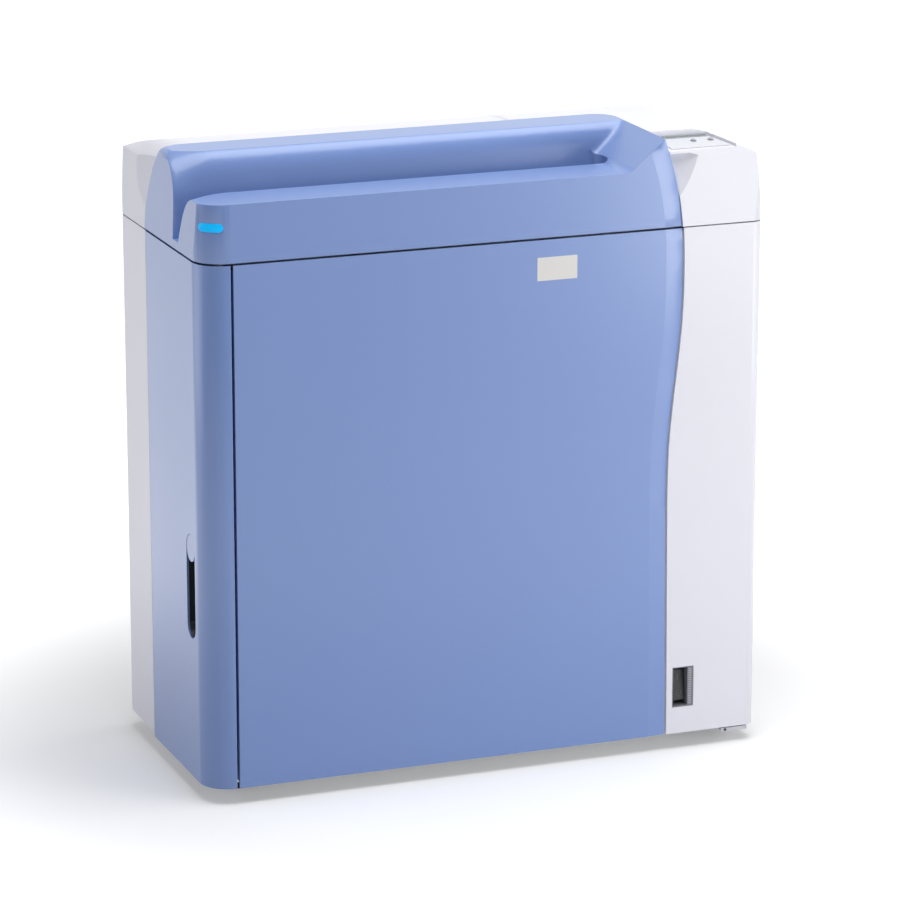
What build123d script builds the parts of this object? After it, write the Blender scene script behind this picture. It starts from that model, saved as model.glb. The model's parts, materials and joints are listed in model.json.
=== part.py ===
from build123d import *
import os
from math import cos, pi, sin

os.makedirs("parts", exist_ok=True)

# Overall size, from the photograph's proportions and the width of a 14 by 17 inch cassette
WIDTH = 700.0
DEPTH = 330.0
COVER_BOTTOM = 20.0
SEAM = 648.0
RIDGE = 755.0
WALL = 3.0

LEFT = -WIDTH / 2
RIGHT = WIDTH / 2
FRONT = -DEPTH / 2
BACK = DEPTH / 2

# Gaps between the covers
SEAM_GAP_BLUE = 2.6
SEAM_GAP_WHITE = 1.4
DOOR_GAP_LEFT = 3.2
DOOR_GAP_RIGHT = 1.6
PANEL_GAP = 0.5

# Corner radii of the covers seen from above
CORNER_FRONT_LEFT = 35.0
CORNER_BACK_LEFT = 27.0
CORNER_RIGHT = 14.0

# Where the blue covers meet the white ones
CORNER_COVER_RIGHT = LEFT + 35.4
BLUE_SIDE_DEPTH = 214.0
TOP_SPLIT_X = LEFT + 442.0

# The blue front's right edge, as X and height above the floor
EDGE_CURVE = [
    (230.0, -20.0),
    (229.5, 120.0),
    (228.0, 280.0),
    (229.5, 390.0),
    (237.0, 465.0),
    (244.5, 540.0),
    (246.0, 600.0),
    (244.4, 648.0),
    (237.5, 698.0),
    (221.0, 755.0),
    (204.0, 800.0),
]

# The blue front falls away softly towards that edge
EDGE_ROLL = 22.0
EDGE_DROP = 2.0

# Lid, measured back from the front face and up from the seam
LEDGE = 69.5
LEDGE_BACK = 66.0
TROUGH_FLOOR = 11.0
TROUGH_FRONT = 86.0
TROUGH_BACK = 107.0
RIDGE_FRONT = 118.0
RIDGE_HEIGHT = RIDGE - SEAM
SLOPE_FOOT = 177.0
SLOPE_HEAD = 221.0
SLOPE_BEND = 22.0
TROUGH_END = 181.0
TROUGH_CORNER = 16.0
RECESS_CORNER = 10.0
FLARE_LENGTH = 60.0
FIN_TOP_ROUND = 9.0
SLOT_WIDTH = 17.0
SLOT_LEFT = -316.0
SLOT_RIGHT = 156.0

# Inner frame
FLOOR_TOP = 27.0
PLATE = 2.0
LEFT_PLATE_X = -336.0
BAY_PLATE_X = 192.0
RIGHT_PLATE_X = 330.0
PLATE_FRONT = -125.0
PLATE_BACK = 162.0
REAR_BAR_BACK = 148.0
PLATE_TOP = 640.0

# Bosses that hold the side covers to the frame
BOSS_HEIGHTS = (70.0, 340.0, 590.0)

# Cassette path
CASSETTE_Y = -70.0
ROLLER_RADIUS = 12.0
FEED_SHAFT_RADIUS = 5.0
FEED_HEIGHT = 612.0
GEAR_MODULE = 1.5
GEAR_TEETH = 26
PINION_TEETH = 12
GEAR_WIDTH = 8.0
GEAR_X = 200.0
ROLLER_SPACING = GEAR_MODULE * GEAR_TEETH
RUNNING_FIT = 0.05

# Vertical guides at the two ends of the bay
GUIDE_LEFT_X = -320.0
GUIDE_RIGHT_X = 172.0
GUIDE_TOP = 600.0
TRAY_ROD_RADIUS = 5.0
RAIL_RADIUS = 6.0
SCREW_RADIUS = 6.0
TRAY_ROD_LEFT_Y = CASSETTE_Y
TRAY_ROD_RIGHT_Y = -26.0
TRAY_SCREW_Y = -52.0
RAIL_Y = -128.0
SCAN_SCREW_Y = -102.0
MOTOR_SIZE = 36.0
MOTOR_TOP = 77.0

# Moving carriages at rest
TRAY_LEDGE = 560.0
PLATE_LEFT = -300.0
PLATE_RIGHT = 150.0
CARRIAGE_BOTTOM = 34.0
CARRIAGE_HEIGHT = 354.0
CARRIAGE_Y = -114.0

# Door hinge
HINGE_X = 264.0
HINGE_Y = FRONT + 9.0
HINGE_PIN_RADIUS = 3.0
HINGE_HEIGHTS = (215.0, 515.0)
HINGE_ARM_HEIGHT = 30.0
ARM_DEPTH = 42.0
ARM_LEG_X = 205.0
ARM_WIDTH = 5.0

# Side pocket and release tab
POCKET_Y = FRONT + 57.0
POCKET_BOTTOM = 192.0
POCKET_TOP = 318.0
POCKET_WIDTH = 31.0
TAB_HEIGHT = 32.0

# Mains switch window
SWITCH_LEFT = 239.0
SWITCH_RIGHT = 267.0
SWITCH_BOTTOM = 53.0
SWITCH_TOP = 104.0
SWITCH_DEPTH = 20.0
ROCKER_TILT = 7.0

# Operation panel: a tilted floor that starts at the front face's top edge
PANEL_TILT = 8.0
PANEL_FRONT = FRONT + 2.0
PANEL_HEIGHT = SEAM + 91.5
PANEL_LENGTH = 46.5
PANEL_LEFT = 222.0
PANEL_RIGHT_REAR = 294.0
PANEL_RIGHT_FRONT = 316.0
PLATE_THICK = 1.2
FILM_FRONT = 5.0
BUTTON_RADIUS = 2.6
BUTTON_REACH = 27.0
BUTTON_X = (269.0, 291.0)

# Optics
SCAN_HEIGHT = 366.0
OPTICS_LEFT = -180.0
OPTICS_RIGHT = 60.0
OPTICS_FRONT = 20.0
OPTICS_BACK = 150.0
OPTICS_BOTTOM = SCAN_HEIGHT - 45.0
OPTICS_TOP = SCAN_HEIGHT + 45.0
POLYGON_X = -60.0
POLYGON_Y = 105.0

# Electronics bay
FAN_X = 262.0
FAN_Z = 560.0
FAN_SIZE = 92.0
FAN_DEPTH = 25.0
REAR_PANEL_Y = 162.0
REAR_PANEL_LEFT = -322.0
REAR_PANEL_RIGHT = 322.0
INLET_X = 262.0
INLET_Z = 75.0
SOCKET_X = 262.0
SOCKET_Z = 130.0


def save(piece, name):
    piece.part.label = name
    export_step(piece.part, f"parts/{name}.step")


def slab(x_range, y_range, z_range, mode=Mode.ADD):
    """A block between two corners, for use inside a part."""
    size = [pair[1] - pair[0] for pair in (x_range, y_range, z_range)]
    centre = [(pair[0] + pair[1]) / 2 for pair in (x_range, y_range, z_range)]
    with Locations(tuple(centre)):
        Box(*size, mode=mode)


def rod(radius, start, length, axis="Z", mode=Mode.ADD):
    """A round bar from its start point along one axis, for use inside a part."""
    turn = {"X": (0, 90, 0), "Y": (-90, 0, 0), "Z": (0, 0, 0)}[axis]
    low = (Align.CENTER, Align.CENTER, Align.MIN)
    with Locations(Location(start, turn)):
        Cylinder(radius, length, align=low, mode=mode)


def footprint(inset, height):
    """The covers' outline from above, as a face at one height."""
    corners = [
        (LEFT + inset, FRONT + inset),
        (RIGHT - inset, FRONT + inset),
        (RIGHT - inset, BACK - inset),
        (LEFT + inset, BACK - inset),
    ]
    radii = [CORNER_FRONT_LEFT, CORNER_RIGHT, CORNER_RIGHT, CORNER_BACK_LEFT]
    radii = [max(radius - inset, 1.0) for radius in radii]
    with BuildSketch(Plane.XY.offset(height)) as outline:
        with BuildLine():
            FilletPolyline(*corners, radius=radii, close=True)
        make_face()
    return outline.sketch


def edge_region(shift, depth, start=FRONT - 1.0):
    """Everything to the left of the blue front's S-shaped edge, as a prism."""
    far = LEFT - 50
    points = [(x + shift, z) for x, z in EDGE_CURVE]
    with BuildPart() as region:
        with BuildSketch(Plane.XZ.offset(-start)):
            with BuildLine():
                Spline(*points)
                Polyline(points[-1], (far, points[-1][1]), (far, points[0][1]), points[0])
            make_face()
        extrude(amount=-depth)
    return region.part


def rear_boundary(shift):
    """Prism of everything in front of the surface where the blue lid meets the white top."""
    curve = [(217, -20), (217, 0), (213, 30), (201, 58), (186, 84), (175, RIDGE_HEIGHT), (169, 122)]
    points = [(FRONT + y + shift, SEAM + z) for y, z in curve]
    with BuildPart() as region:
        with BuildSketch(Plane.YZ.offset(LEFT - 1)):
            with BuildLine():
                Spline(*points)
                Polyline(points[-1], (FRONT - 5, points[-1][1]), (FRONT - 5, points[0][1]), points[0])
            make_face()
        extrude(amount=WIDTH + 2)
    return region.part


def fin_cut(shift):
    """Plane that draws the blue lid's rear edge forward where it reaches the left face."""
    low = Vector(LEFT, FRONT + 214 + shift, SEAM + 50)
    outer = Vector(LEFT + 4, FRONT + 163 + shift, RIDGE)
    inner = Vector(LEFT + 30, FRONT + 177 + shift, RIDGE)
    return Plane(origin=low, z_dir=(outer - low).cross(inner - low))


def blue_zone(shift):
    """The space that the blue lid takes from the white top, grown by shift."""
    with BuildPart() as zone:
        add(rear_boundary(shift))
        add(edge_region(shift, 400.0, FRONT - 10), mode=Mode.INTERSECT)
        corner = zone.edges().filter_by(
            lambda edge: edge.center().X > 150 and edge.center().Y > FRONT + 150
            and edge.length > 100 and abs(edge.center().Z - SEAM) < 60
        )
        if corner:
            fillet(corner[0], 30)
        split(bisect_by=fin_cut(shift), keep=Keep.BOTTOM)
    return zone.part


def body_ring():
    """The covers' walls below the seam as one ring."""
    with BuildPart() as ring:
        extrude(footprint(0, COVER_BOTTOM), amount=SEAM - COVER_BOTTOM)
        extrude(footprint(WALL, COVER_BOTTOM), amount=SEAM - COVER_BOTTOM, mode=Mode.SUBTRACT)
    return ring.part


def gear_outline(teeth, module, turn):
    """Trapezoid gear teeth as a list of points around the pitch circle."""
    pitch_radius = module * teeth / 2
    step = 2 * pi / teeth
    root = pitch_radius - 1.15 * module
    tip = pitch_radius + 0.85 * module
    points = []
    for tooth in range(teeth):
        middle = tooth * step + turn
        for radius, part in ((root, -0.32), (tip, -0.13), (tip, 0.13), (root, 0.32)):
            angle = middle + part * step
            points.append((radius * cos(angle), radius * sin(angle)))
    return points


COVER_RING = body_ring()
BLUE_TOP = SEAM - SEAM_GAP_BLUE / 2
WHITE_TOP = SEAM - SEAM_GAP_WHITE / 2

# Blue corner cover with the front part of the left face
with BuildPart() as left_corner_cover:
    add(COVER_RING)
    slab((LEFT - 1, CORNER_COVER_RIGHT), (FRONT - 1, FRONT + BLUE_SIDE_DEPTH),
         (COVER_BOTTOM, BLUE_TOP), mode=Mode.INTERSECT)
    slab((CORNER_COVER_RIGHT - WALL, CORNER_COVER_RIGHT), (FRONT + WALL, FRONT + 16),
         (COVER_BOTTOM, BLUE_TOP))
    with BuildSketch(Plane.YZ.offset(LEFT - 1)):
        with Locations((POCKET_Y, (POCKET_BOTTOM + POCKET_TOP) / 2)):
            SlotOverall(POCKET_TOP - POCKET_BOTTOM, POCKET_WIDTH, rotation=90)
    extrude(amount=WALL + 2, mode=Mode.SUBTRACT)
    for z in BOSS_HEIGHTS:
        slab((LEFT + 1, LEFT_PLATE_X), (0, 16), (z, z + 16))
save(left_corner_cover, "left_corner_cover")

# Closed cup behind the pocket, with a bore for the tab's stem
with BuildPart() as finger_pocket:
    with BuildSketch(Plane.YZ.offset(LEFT + WALL)):
        with Locations((POCKET_Y, (POCKET_BOTTOM + POCKET_TOP) / 2)):
            SlotOverall(POCKET_TOP - POCKET_BOTTOM + 8, POCKET_WIDTH + 8, rotation=90)
    extrude(amount=9.0)
    with BuildSketch(Plane.YZ.offset(LEFT + WALL)):
        with Locations((POCKET_Y, (POCKET_BOTTOM + POCKET_TOP) / 2)):
            SlotOverall(POCKET_TOP - POCKET_BOTTOM, POCKET_WIDTH, rotation=90)
    extrude(amount=7.0, mode=Mode.SUBTRACT)
    rod(4.0 + RUNNING_FIT, (LEFT, POCKET_Y, POCKET_TOP - TAB_HEIGHT / 2), 20, "X", Mode.SUBTRACT)
save(finger_pocket, "finger_pocket")

# Oval tab at the top of the pocket, pressed inwards to free the door
TAB_CLEARANCE = 0.4
with BuildPart() as release_tab:
    with BuildSketch(Plane.YZ.offset(LEFT + 0.4)):
        with Locations((POCKET_Y, POCKET_TOP - TAB_CLEARANCE - TAB_HEIGHT / 2)):
            SlotOverall(TAB_HEIGHT, POCKET_WIDTH - 2 * TAB_CLEARANCE, rotation=90)
    extrude(amount=4.0)
    rod(4.0, (LEFT + 4.0, POCKET_Y, POCKET_TOP - TAB_HEIGHT / 2), 8.0, "X")
save(release_tab, "release_tab")

# White cover round the rear of the left face and the rear-left corner
with BuildPart() as left_rear_cover:
    add(COVER_RING)
    slab((LEFT - 1, REAR_PANEL_LEFT - 1), (FRONT + BLUE_SIDE_DEPTH + PANEL_GAP, BACK + 1),
         (COVER_BOTTOM + 5, WHITE_TOP), mode=Mode.INTERSECT)
    for z in BOSS_HEIGHTS:
        slab((LEFT + 1, LEFT_PLATE_X), (110, 126), (z, z + 16))
save(left_rear_cover, "left_rear_cover")

# Lip of the right cover that closes the gap along the door's S-shaped edge from behind
LIP_REACH = 2.5
LIP_WIDTH = 8.0
LIP_CLEARANCE = 0.5
LIP_DEPTH = 1.4
with BuildPart() as door_lip:
    add(edge_region(LIP_WIDTH, LIP_DEPTH, FRONT + WALL))
    add(edge_region(-LIP_REACH, LIP_DEPTH + 2, FRONT + WALL - 1), mode=Mode.SUBTRACT)
    add(edge_region(DOOR_GAP_RIGHT, 1 + LIP_CLEARANCE, FRONT + WALL - 1), mode=Mode.SUBTRACT)
    slab((0, RIGHT), (FRONT, FRONT + 10), (COVER_BOTTOM + 4, WHITE_TOP - 4), mode=Mode.INTERSECT)

# White cover with the right part of the front and the whole right face
with BuildPart() as right_cover:
    add(COVER_RING)
    slab((0, RIGHT + 1), (FRONT - 1, BACK + 1), (COVER_BOTTOM, WHITE_TOP), mode=Mode.INTERSECT)
    add(edge_region(DOOR_GAP_RIGHT, WALL + 2), mode=Mode.SUBTRACT)
    slab((0, REAR_PANEL_RIGHT + 1), (0, BACK + 1), (COVER_BOTTOM - 1, SEAM), mode=Mode.SUBTRACT)
    slab((SWITCH_LEFT, SWITCH_RIGHT), (FRONT - 1, FRONT + WALL + 1), (SWITCH_BOTTOM, SWITCH_TOP),
         mode=Mode.SUBTRACT)
    add(door_lip.part)
    for z in BOSS_HEIGHTS:
        slab((RIGHT_PLATE_X + PLATE, RIGHT - 1), (130, 146), (z, z + 16))
        slab((RIGHT_PLATE_X + PLATE, RIGHT - 1), (-60, -44), (z, z + 16))
save(right_cover, "right_cover")

# Front door skin with its S-shaped right edge
DOOR_LEFT = CORNER_COVER_RIGHT + DOOR_GAP_LEFT
with BuildPart() as door_panel:
    add(edge_region(0, WALL, FRONT))
    slab((DOOR_LEFT, RIGHT), (FRONT - 1, FRONT + WALL + 1), (COVER_BOTTOM, BLUE_TOP),
         mode=Mode.INTERSECT)
    front_face = door_panel.faces().sort_by(Axis.Y)[0]
    right_edge = front_face.edges().sort_by(Axis.X)[-1]
    chamfer(right_edge, length=EDGE_ROLL, length2=EDGE_DROP, reference=front_face)
    slab((DOOR_LEFT, DOOR_LEFT + WALL), (FRONT + WALL, FRONT + 14), (COVER_BOTTOM + 8, BLUE_TOP - 8))
save(door_panel, "door_panel")

# Folded steel pan behind the door skin
PAN_SHEET = 1.5
PAN_RIGHT = 212.0
PAN_FLOOR = FRONT + WALL + PAN_SHEET
with BuildPart() as door_frame:
    slab((DOOR_LEFT + 10, PAN_RIGHT), (FRONT + WALL, FRONT + 17), (COVER_BOTTOM + 14, BLUE_TOP - 14))
    slab((DOOR_LEFT + 10 + PAN_SHEET, PAN_RIGHT - PAN_SHEET), (PAN_FLOOR, FRONT + 18),
         (COVER_BOTTOM + 14 + PAN_SHEET, BLUE_TOP - 14 - PAN_SHEET), mode=Mode.SUBTRACT)
save(door_frame, "door_frame")

# Swan-neck arms that carry the door round the edge of the white cover
with BuildPart() as door_hinge_arms:
    for height in HINGE_HEIGHTS:
        with BuildSketch(Plane.XY.offset(height)):
            with BuildLine():
                FilletPolyline(
                    (HINGE_X, HINGE_Y),
                    (HINGE_X, HINGE_Y + ARM_DEPTH),
                    (ARM_LEG_X, HINGE_Y + ARM_DEPTH),
                    (ARM_LEG_X, PAN_FLOOR),
                    radius=8,
                )
            trace(line_width=ARM_WIDTH)
            with Locations((HINGE_X, HINGE_Y)):
                Circle(HINGE_PIN_RADIUS + 2.8)
        extrude(amount=HINGE_ARM_HEIGHT)
        slab((ARM_LEG_X - 28, ARM_LEG_X), (PAN_FLOOR, PAN_FLOOR + 4), (height, height + HINGE_ARM_HEIGHT))
        rod(HINGE_PIN_RADIUS + RUNNING_FIT, (HINGE_X, HINGE_Y, height - 1), HINGE_ARM_HEIGHT + 2,
            mode=Mode.SUBTRACT)
save(door_hinge_arms, "door_hinge_arms")

# Clevis brackets on the right side plate
with BuildPart() as hinge_brackets:
    for height in HINGE_HEIGHTS:
        for low in (height - 4.4, height + HINGE_ARM_HEIGHT + 0.4):
            slab((HINGE_X - 5.5, RIGHT_PLATE_X - 3), (HINGE_Y - 5.5, HINGE_Y + 12), (low, low + 4))
            rod(HINGE_PIN_RADIUS, (HINGE_X, HINGE_Y, low - 1), 6, mode=Mode.SUBTRACT)
        slab((HINGE_X + 24, RIGHT_PLATE_X), (HINGE_Y + 9, HINGE_Y + 12),
             (height - 4.4, height + HINGE_ARM_HEIGHT + 4.4))
        slab((RIGHT_PLATE_X - 3, RIGHT_PLATE_X), (HINGE_Y - 5.5, PLATE_FRONT + 25),
             (height - 4.4, height + HINGE_ARM_HEIGHT + 4.4))
save(hinge_brackets, "hinge_brackets")

with BuildPart() as hinge_pins:
    for height in HINGE_HEIGHTS:
        rod(HINGE_PIN_RADIUS, (HINGE_X, HINGE_Y, height - 4.4), HINGE_ARM_HEIGHT + 8.8)
save(hinge_pins, "hinge_pins")


def slope_region(grow):
    """Everything to the left of the lid's sloped right end, above and below the ledge."""
    rise = (RIDGE_HEIGHT - LEDGE) / (SLOPE_HEAD - SLOPE_FOOT)
    inner_end = TROUGH_END - TROUGH_CORNER - 4 + grow
    sky = RIDGE + 25
    with BuildPart() as region:
        with BuildSketch(Plane.XZ.offset(-FRONT + 10)):
            with BuildLine():
                FilletPolyline(
                    (inner_end, SEAM + LEDGE - grow),
                    (SLOPE_FOOT + grow * 0.6, SEAM + LEDGE - grow),
                    (SLOPE_HEAD + 24 + grow, SEAM + RIDGE_HEIGHT + 24 * rise),
                    radius=SLOPE_BEND,
                )
                Polyline(
                    (SLOPE_HEAD + 24 + grow, SEAM + RIDGE_HEIGHT + 24 * rise),
                    (SLOPE_HEAD + 24 + grow, sky),
                    (LEFT - 6, sky),
                    (LEFT - 6, SEAM - 6),
                    (inner_end, SEAM - 6),
                    (inner_end, SEAM + LEDGE - grow),
                )
            make_face()
        extrude(amount=-DEPTH)
    return region.part


def trough_region(grow):
    """Upright prism with rounded corners round the trough's right end."""
    start = TROUGH_END - TROUGH_CORNER - 30
    rear = FRONT + TROUGH_BACK + 5 + grow
    with BuildPart() as region:
        with BuildSketch(Plane.XY.offset(SEAM - 6)):
            with BuildLine():
                FilletPolyline(
                    (start, FRONT + LEDGE_BACK - grow),
                    (TROUGH_END + grow, FRONT + LEDGE_BACK - grow),
                    (TROUGH_END + grow, rear),
                    (start, rear),
                    radius=TROUGH_CORNER,
                )
                Polyline((start, rear), (start, FRONT + LEDGE_BACK - grow))
            make_face()
        extrude(amount=LEDGE + 14)
    return region.part


def recess_and_trough(grow):
    """The open space over the ledge and in the trough, grown outwards into the lid."""
    y_of = lambda y: FRONT + y
    front_wall = [
        (y_of(LEDGE_BACK) - grow, SEAM + LEDGE - grow),
        (y_of(76) - grow, SEAM + 44),
        (y_of(83) - grow, SEAM + 22),
        (y_of(TROUGH_FRONT) - grow, SEAM + TROUGH_FLOOR - grow),
    ]
    rear_wall = [
        (y_of(TROUGH_BACK) + grow, SEAM + TROUGH_FLOOR - grow),
        (y_of(TROUGH_BACK) + grow, SEAM + 48),
        (y_of(110) + grow, SEAM + 74),
        (y_of(113) + grow, SEAM + 90),
        (y_of(RIDGE_FRONT) + grow, SEAM + 100),
        (y_of(RIDGE_FRONT + 10) + grow, SEAM + RIDGE_HEIGHT + 1),
    ]
    sky = RIDGE + 20
    with BuildPart() as space:
        with BuildSketch(Plane.YZ.offset(LEFT - 5)):
            with BuildLine():
                Polyline((FRONT - 5, sky), (FRONT - 5, SEAM + LEDGE - grow), front_wall[0])
                Spline(*front_wall)
                Line(front_wall[-1], rear_wall[0])
                Spline(*rear_wall)
                Polyline(rear_wall[-1], (rear_wall[-1][0], sky), (FRONT - 5, sky))
            make_face()
        extrude(amount=WIDTH)
    with BuildPart() as recess:
        add(space.part)
        add(slope_region(grow), mode=Mode.INTERSECT)
        if grow == 0:
            inner_corner = recess.edges().filter_by(
                lambda edge: edge.center().X > SLOPE_FOOT + 6 and edge.center().X < SLOPE_HEAD + 8
                and edge.center().Y > FRONT + 100 and edge.center().Y < FRONT + 130
                and edge.center().Z > SEAM + LEDGE + 5 and edge.center().Z < RIDGE + 2
            )
            fillet(inner_corner, RECESS_CORNER)
    with BuildPart() as trough:
        add(space.part)
        add(trough_region(grow), mode=Mode.INTERSECT)
    return recess.part + trough.part


def left_flare():
    """The widening of the trough where it opens through the left face."""
    sections = []
    steps = 4
    for index in range(steps):
        share = 1 - index / (steps - 1)
        x = LEFT + FLARE_LENGTH * (1 - share) - (1 if index == 0 else 0)
        widen = share * share
        front_wall = [
            (FRONT + LEDGE_BACK + 1 - 31 * widen, SEAM + LEDGE + 0.5),
            (FRONT + 77 - 15 * widen, SEAM + 46 + 11 * widen),
            (FRONT + 84 - 6 * widen, SEAM + 22 + 9 * widen),
            (FRONT + TROUGH_FRONT + 1, SEAM + TROUGH_FLOOR + 0.5),
        ]
        rear_wall = [
            (FRONT + TROUGH_BACK - 1, SEAM + TROUGH_FLOOR + 0.5),
            (FRONT + TROUGH_BACK - 1 + 1.6 * widen, SEAM + 48),
            (FRONT + 109 + 3 * widen, SEAM + 74),
            (FRONT + 112 + 11 * widen, SEAM + 90),
            (FRONT + RIDGE_FRONT - 1 + 19 * widen, SEAM + 100),
            (FRONT + RIDGE_FRONT + 9 + 23 * widen, SEAM + RIDGE_HEIGHT + 1),
        ]
        with BuildSketch(Plane.YZ.offset(x)) as outline:
            with BuildLine():
                Spline(*front_wall)
                Line(front_wall[-1], rear_wall[0])
                Spline(*rear_wall)
                Line(rear_wall[-1], (rear_wall[-1][0], RIDGE + 20))
                Line((rear_wall[-1][0], RIDGE + 20), (front_wall[0][0], RIDGE + 20))
                Line((front_wall[0][0], RIDGE + 20), front_wall[0])
            make_face()
        sections.append(outline.sketch)
    return loft(sections)


def lid_envelope(inset, bottom):
    """The blue lid's outer form before the recess is cut, drawn in by inset."""
    with BuildPart() as envelope:
        extrude(footprint(inset, bottom), amount=RIDGE - inset - bottom)
        with BuildSketch(Plane.XZ.offset(-FRONT + 5)):
            with BuildLine():
                FilletPolyline(
                    (LEFT + inset, bottom),
                    (LEFT + inset + 4, RIDGE - inset),
                    (LEFT + 30, RIDGE - inset),
                    radius=FIN_TOP_ROUND - inset,
                )
                Polyline(
                    (LEFT + 30, RIDGE - inset),
                    (LEFT + 30, RIDGE + 1),
                    (RIGHT, RIDGE + 1),
                    (RIGHT, bottom),
                    (LEFT + inset, bottom),
                )
            make_face()
        extrude(amount=-DEPTH - 10, mode=Mode.INTERSECT)
        add(blue_zone(-inset), mode=Mode.INTERSECT)
        front_face = envelope.faces().sort_by(Axis.Y)[0]
        right_edge = front_face.edges().sort_by(Axis.X)[-1]
        chamfer(right_edge, length=EDGE_ROLL, length2=EDGE_DROP, reference=front_face)
    return envelope.part


LID_BOTTOM = SEAM + SEAM_GAP_BLUE / 2

# Sprung flap under the cassette slot
SHUTTER_ROD = 2.5
SHUTTER_Y = CASSETTE_Y + SLOT_WIDTH / 2 + 6
SHUTTER_Z = SEAM + 4.5

# Status lens, wrapped on the lid's front-left corner
LENS_Z = SEAM + 43.0
LENS_HEIGHT = 10.0
LENS_LENGTH = 30.0
LENS_ANGLE = 52.0


def lens_band(outset, depth, clearance):
    """A pill wrapped on the lid's rounded corner, from outset to depth below the face."""
    low = LENS_Z - LENS_HEIGHT
    turn = LENS_ANGLE * pi / 180
    centre = (LEFT + CORNER_FRONT_LEFT, FRONT + CORNER_FRONT_LEFT, LENS_Z)
    outward = Plane(origin=centre, x_dir=(sin(turn), -cos(turn), 0), z_dir=(-cos(turn), -sin(turn), 0))
    with BuildPart() as band:
        extrude(footprint(outset, low), amount=2 * LENS_HEIGHT)
        extrude(footprint(depth, low), amount=2 * LENS_HEIGHT, mode=Mode.SUBTRACT)
        with BuildSketch(outward):
            SlotOverall(LENS_LENGTH + 2 * clearance, LENS_HEIGHT + 2 * clearance)
        extrude(amount=60, mode=Mode.INTERSECT)
    return band.part


with BuildPart() as lid_hollow:
    add(lid_envelope(WALL, LID_BOTTOM - 1))
    add(recess_and_trough(WALL), mode=Mode.SUBTRACT)
    slab((LEFT - 1, LEFT + FLARE_LENGTH), (FRONT + 30, FRONT + 158), (SEAM - 5, RIDGE + 1),
         mode=Mode.SUBTRACT)
    slab((LEFT + 8, LEFT + FLARE_LENGTH + 5), (FRONT + 20, FRONT + 56), (SEAM - 4, SEAM + 52))
    slab((LEFT + 8, LEFT + FLARE_LENGTH + 5), (FRONT + 118, FRONT + 170), (SEAM - 4, SEAM + 68))
    slab((LEFT + 22, LEFT + FLARE_LENGTH + 5), (FRONT + 50, FRONT + 125), (SEAM - 4, SEAM + 8))

# Blue lid: ledge, trough, ridge and sloped right end, hollow from below
with BuildPart() as lid_saddle:
    add(lid_envelope(0, LID_BOTTOM))
    add(recess_and_trough(0), mode=Mode.SUBTRACT)
    add(left_flare(), mode=Mode.SUBTRACT)
    add(lid_hollow.part, mode=Mode.SUBTRACT)
    slab((SLOT_LEFT, SLOT_RIGHT),
         (CASSETTE_Y - SLOT_WIDTH / 2, CASSETTE_Y + SLOT_WIDTH / 2), (SEAM - 5, SEAM + 20),
         mode=Mode.SUBTRACT)
    for x in (SLOT_LEFT - 9, SLOT_RIGHT + 4):
        slab((x, x + 5), (SHUTTER_Y - 5, SHUTTER_Y + 5), (LID_BOTTOM, SEAM + TROUGH_FLOOR - 1))
        rod(SHUTTER_ROD + RUNNING_FIT, (x - 1, SHUTTER_Y, SHUTTER_Z), 7, "X", Mode.SUBTRACT)
    add(lens_band(-1.0, 2.0, 0.1), mode=Mode.SUBTRACT)
    slab((LEFT_PLATE_X - 2, LEFT_PLATE_X + 6), (FRONT + 60, FRONT + 80), (PLATE_TOP, SEAM + 9))
    slab((BAY_PLATE_X - 2, BAY_PLATE_X + 4), (FRONT + 146, FRONT + 164), (PLATE_TOP, RIDGE - 2))
save(lid_saddle, "lid_saddle")

with BuildPart() as status_lens:
    add(lens_band(-0.4, 2.0, 0))
save(status_lens, "status_lens")


def white_envelope(inset, bottom):
    """The white top's outer form: drafted sides, rounded shoulders and a gently domed roof."""
    low = SEAM - 2
    roof = RIDGE - inset
    brow = roof + 0.4
    left_edge = (LEFT + 6 + inset, SEAM + 80 - inset)
    right_edge = (RIGHT - 11 - inset, SEAM + 83 - inset)
    front_edge = (FRONT + 2 + inset, SEAM + 92 - inset)
    rear_edge = (BACK - 9 - inset, SEAM + 79 - inset)
    with BuildPart() as envelope:
        extrude(footprint(inset, bottom), amount=RIDGE + 5 - bottom)
        with BuildSketch(Plane.XZ.offset(-FRONT + 5)):
            with BuildLine():
                Line((LEFT + inset, low), left_edge)
                Spline(left_edge, (LEFT + 20 + inset, SEAM + 95 - inset), (LEFT + 50, brow),
                       tangents=((1.0, 0.95), (1.0, 0.03)))
                Line((LEFT + 50, brow), (RIGHT - 150, brow))
                Spline((RIGHT - 150, brow), (RIGHT - 66, SEAM + 105 - inset),
                       (RIGHT - 28 - inset, SEAM + 91 - inset), right_edge,
                       tangents=((1.0, -0.01), (0.9, -0.45)))
                Polyline(right_edge, (RIGHT - inset, low), (LEFT + inset, low))
            make_face()
        extrude(amount=-DEPTH - 10, mode=Mode.INTERSECT)
        with BuildSketch(Plane.YZ.offset(LEFT - 1)):
            with BuildLine():
                Line((FRONT + inset, low), front_edge)
                Spline(front_edge, (FRONT + 12 + inset, SEAM + 101 - inset), (FRONT + 50, roof),
                       tangents=((0.3, 1.0), (1.0, 0.06)))
                Line((FRONT + 50, roof), (FRONT + 176, roof))
                Spline((FRONT + 176, roof), (FRONT + 256, SEAM + 98 - inset), rear_edge,
                       tangents=((1.0, 0.0), (1.0, -0.42)))
                Polyline(rear_edge, (BACK - inset, low), (FRONT + inset, low))
            make_face()
        extrude(amount=WIDTH + 2, mode=Mode.INTERSECT)
    return envelope.part


WHITE_BOTTOM = SEAM + SEAM_GAP_WHITE / 2

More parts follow.
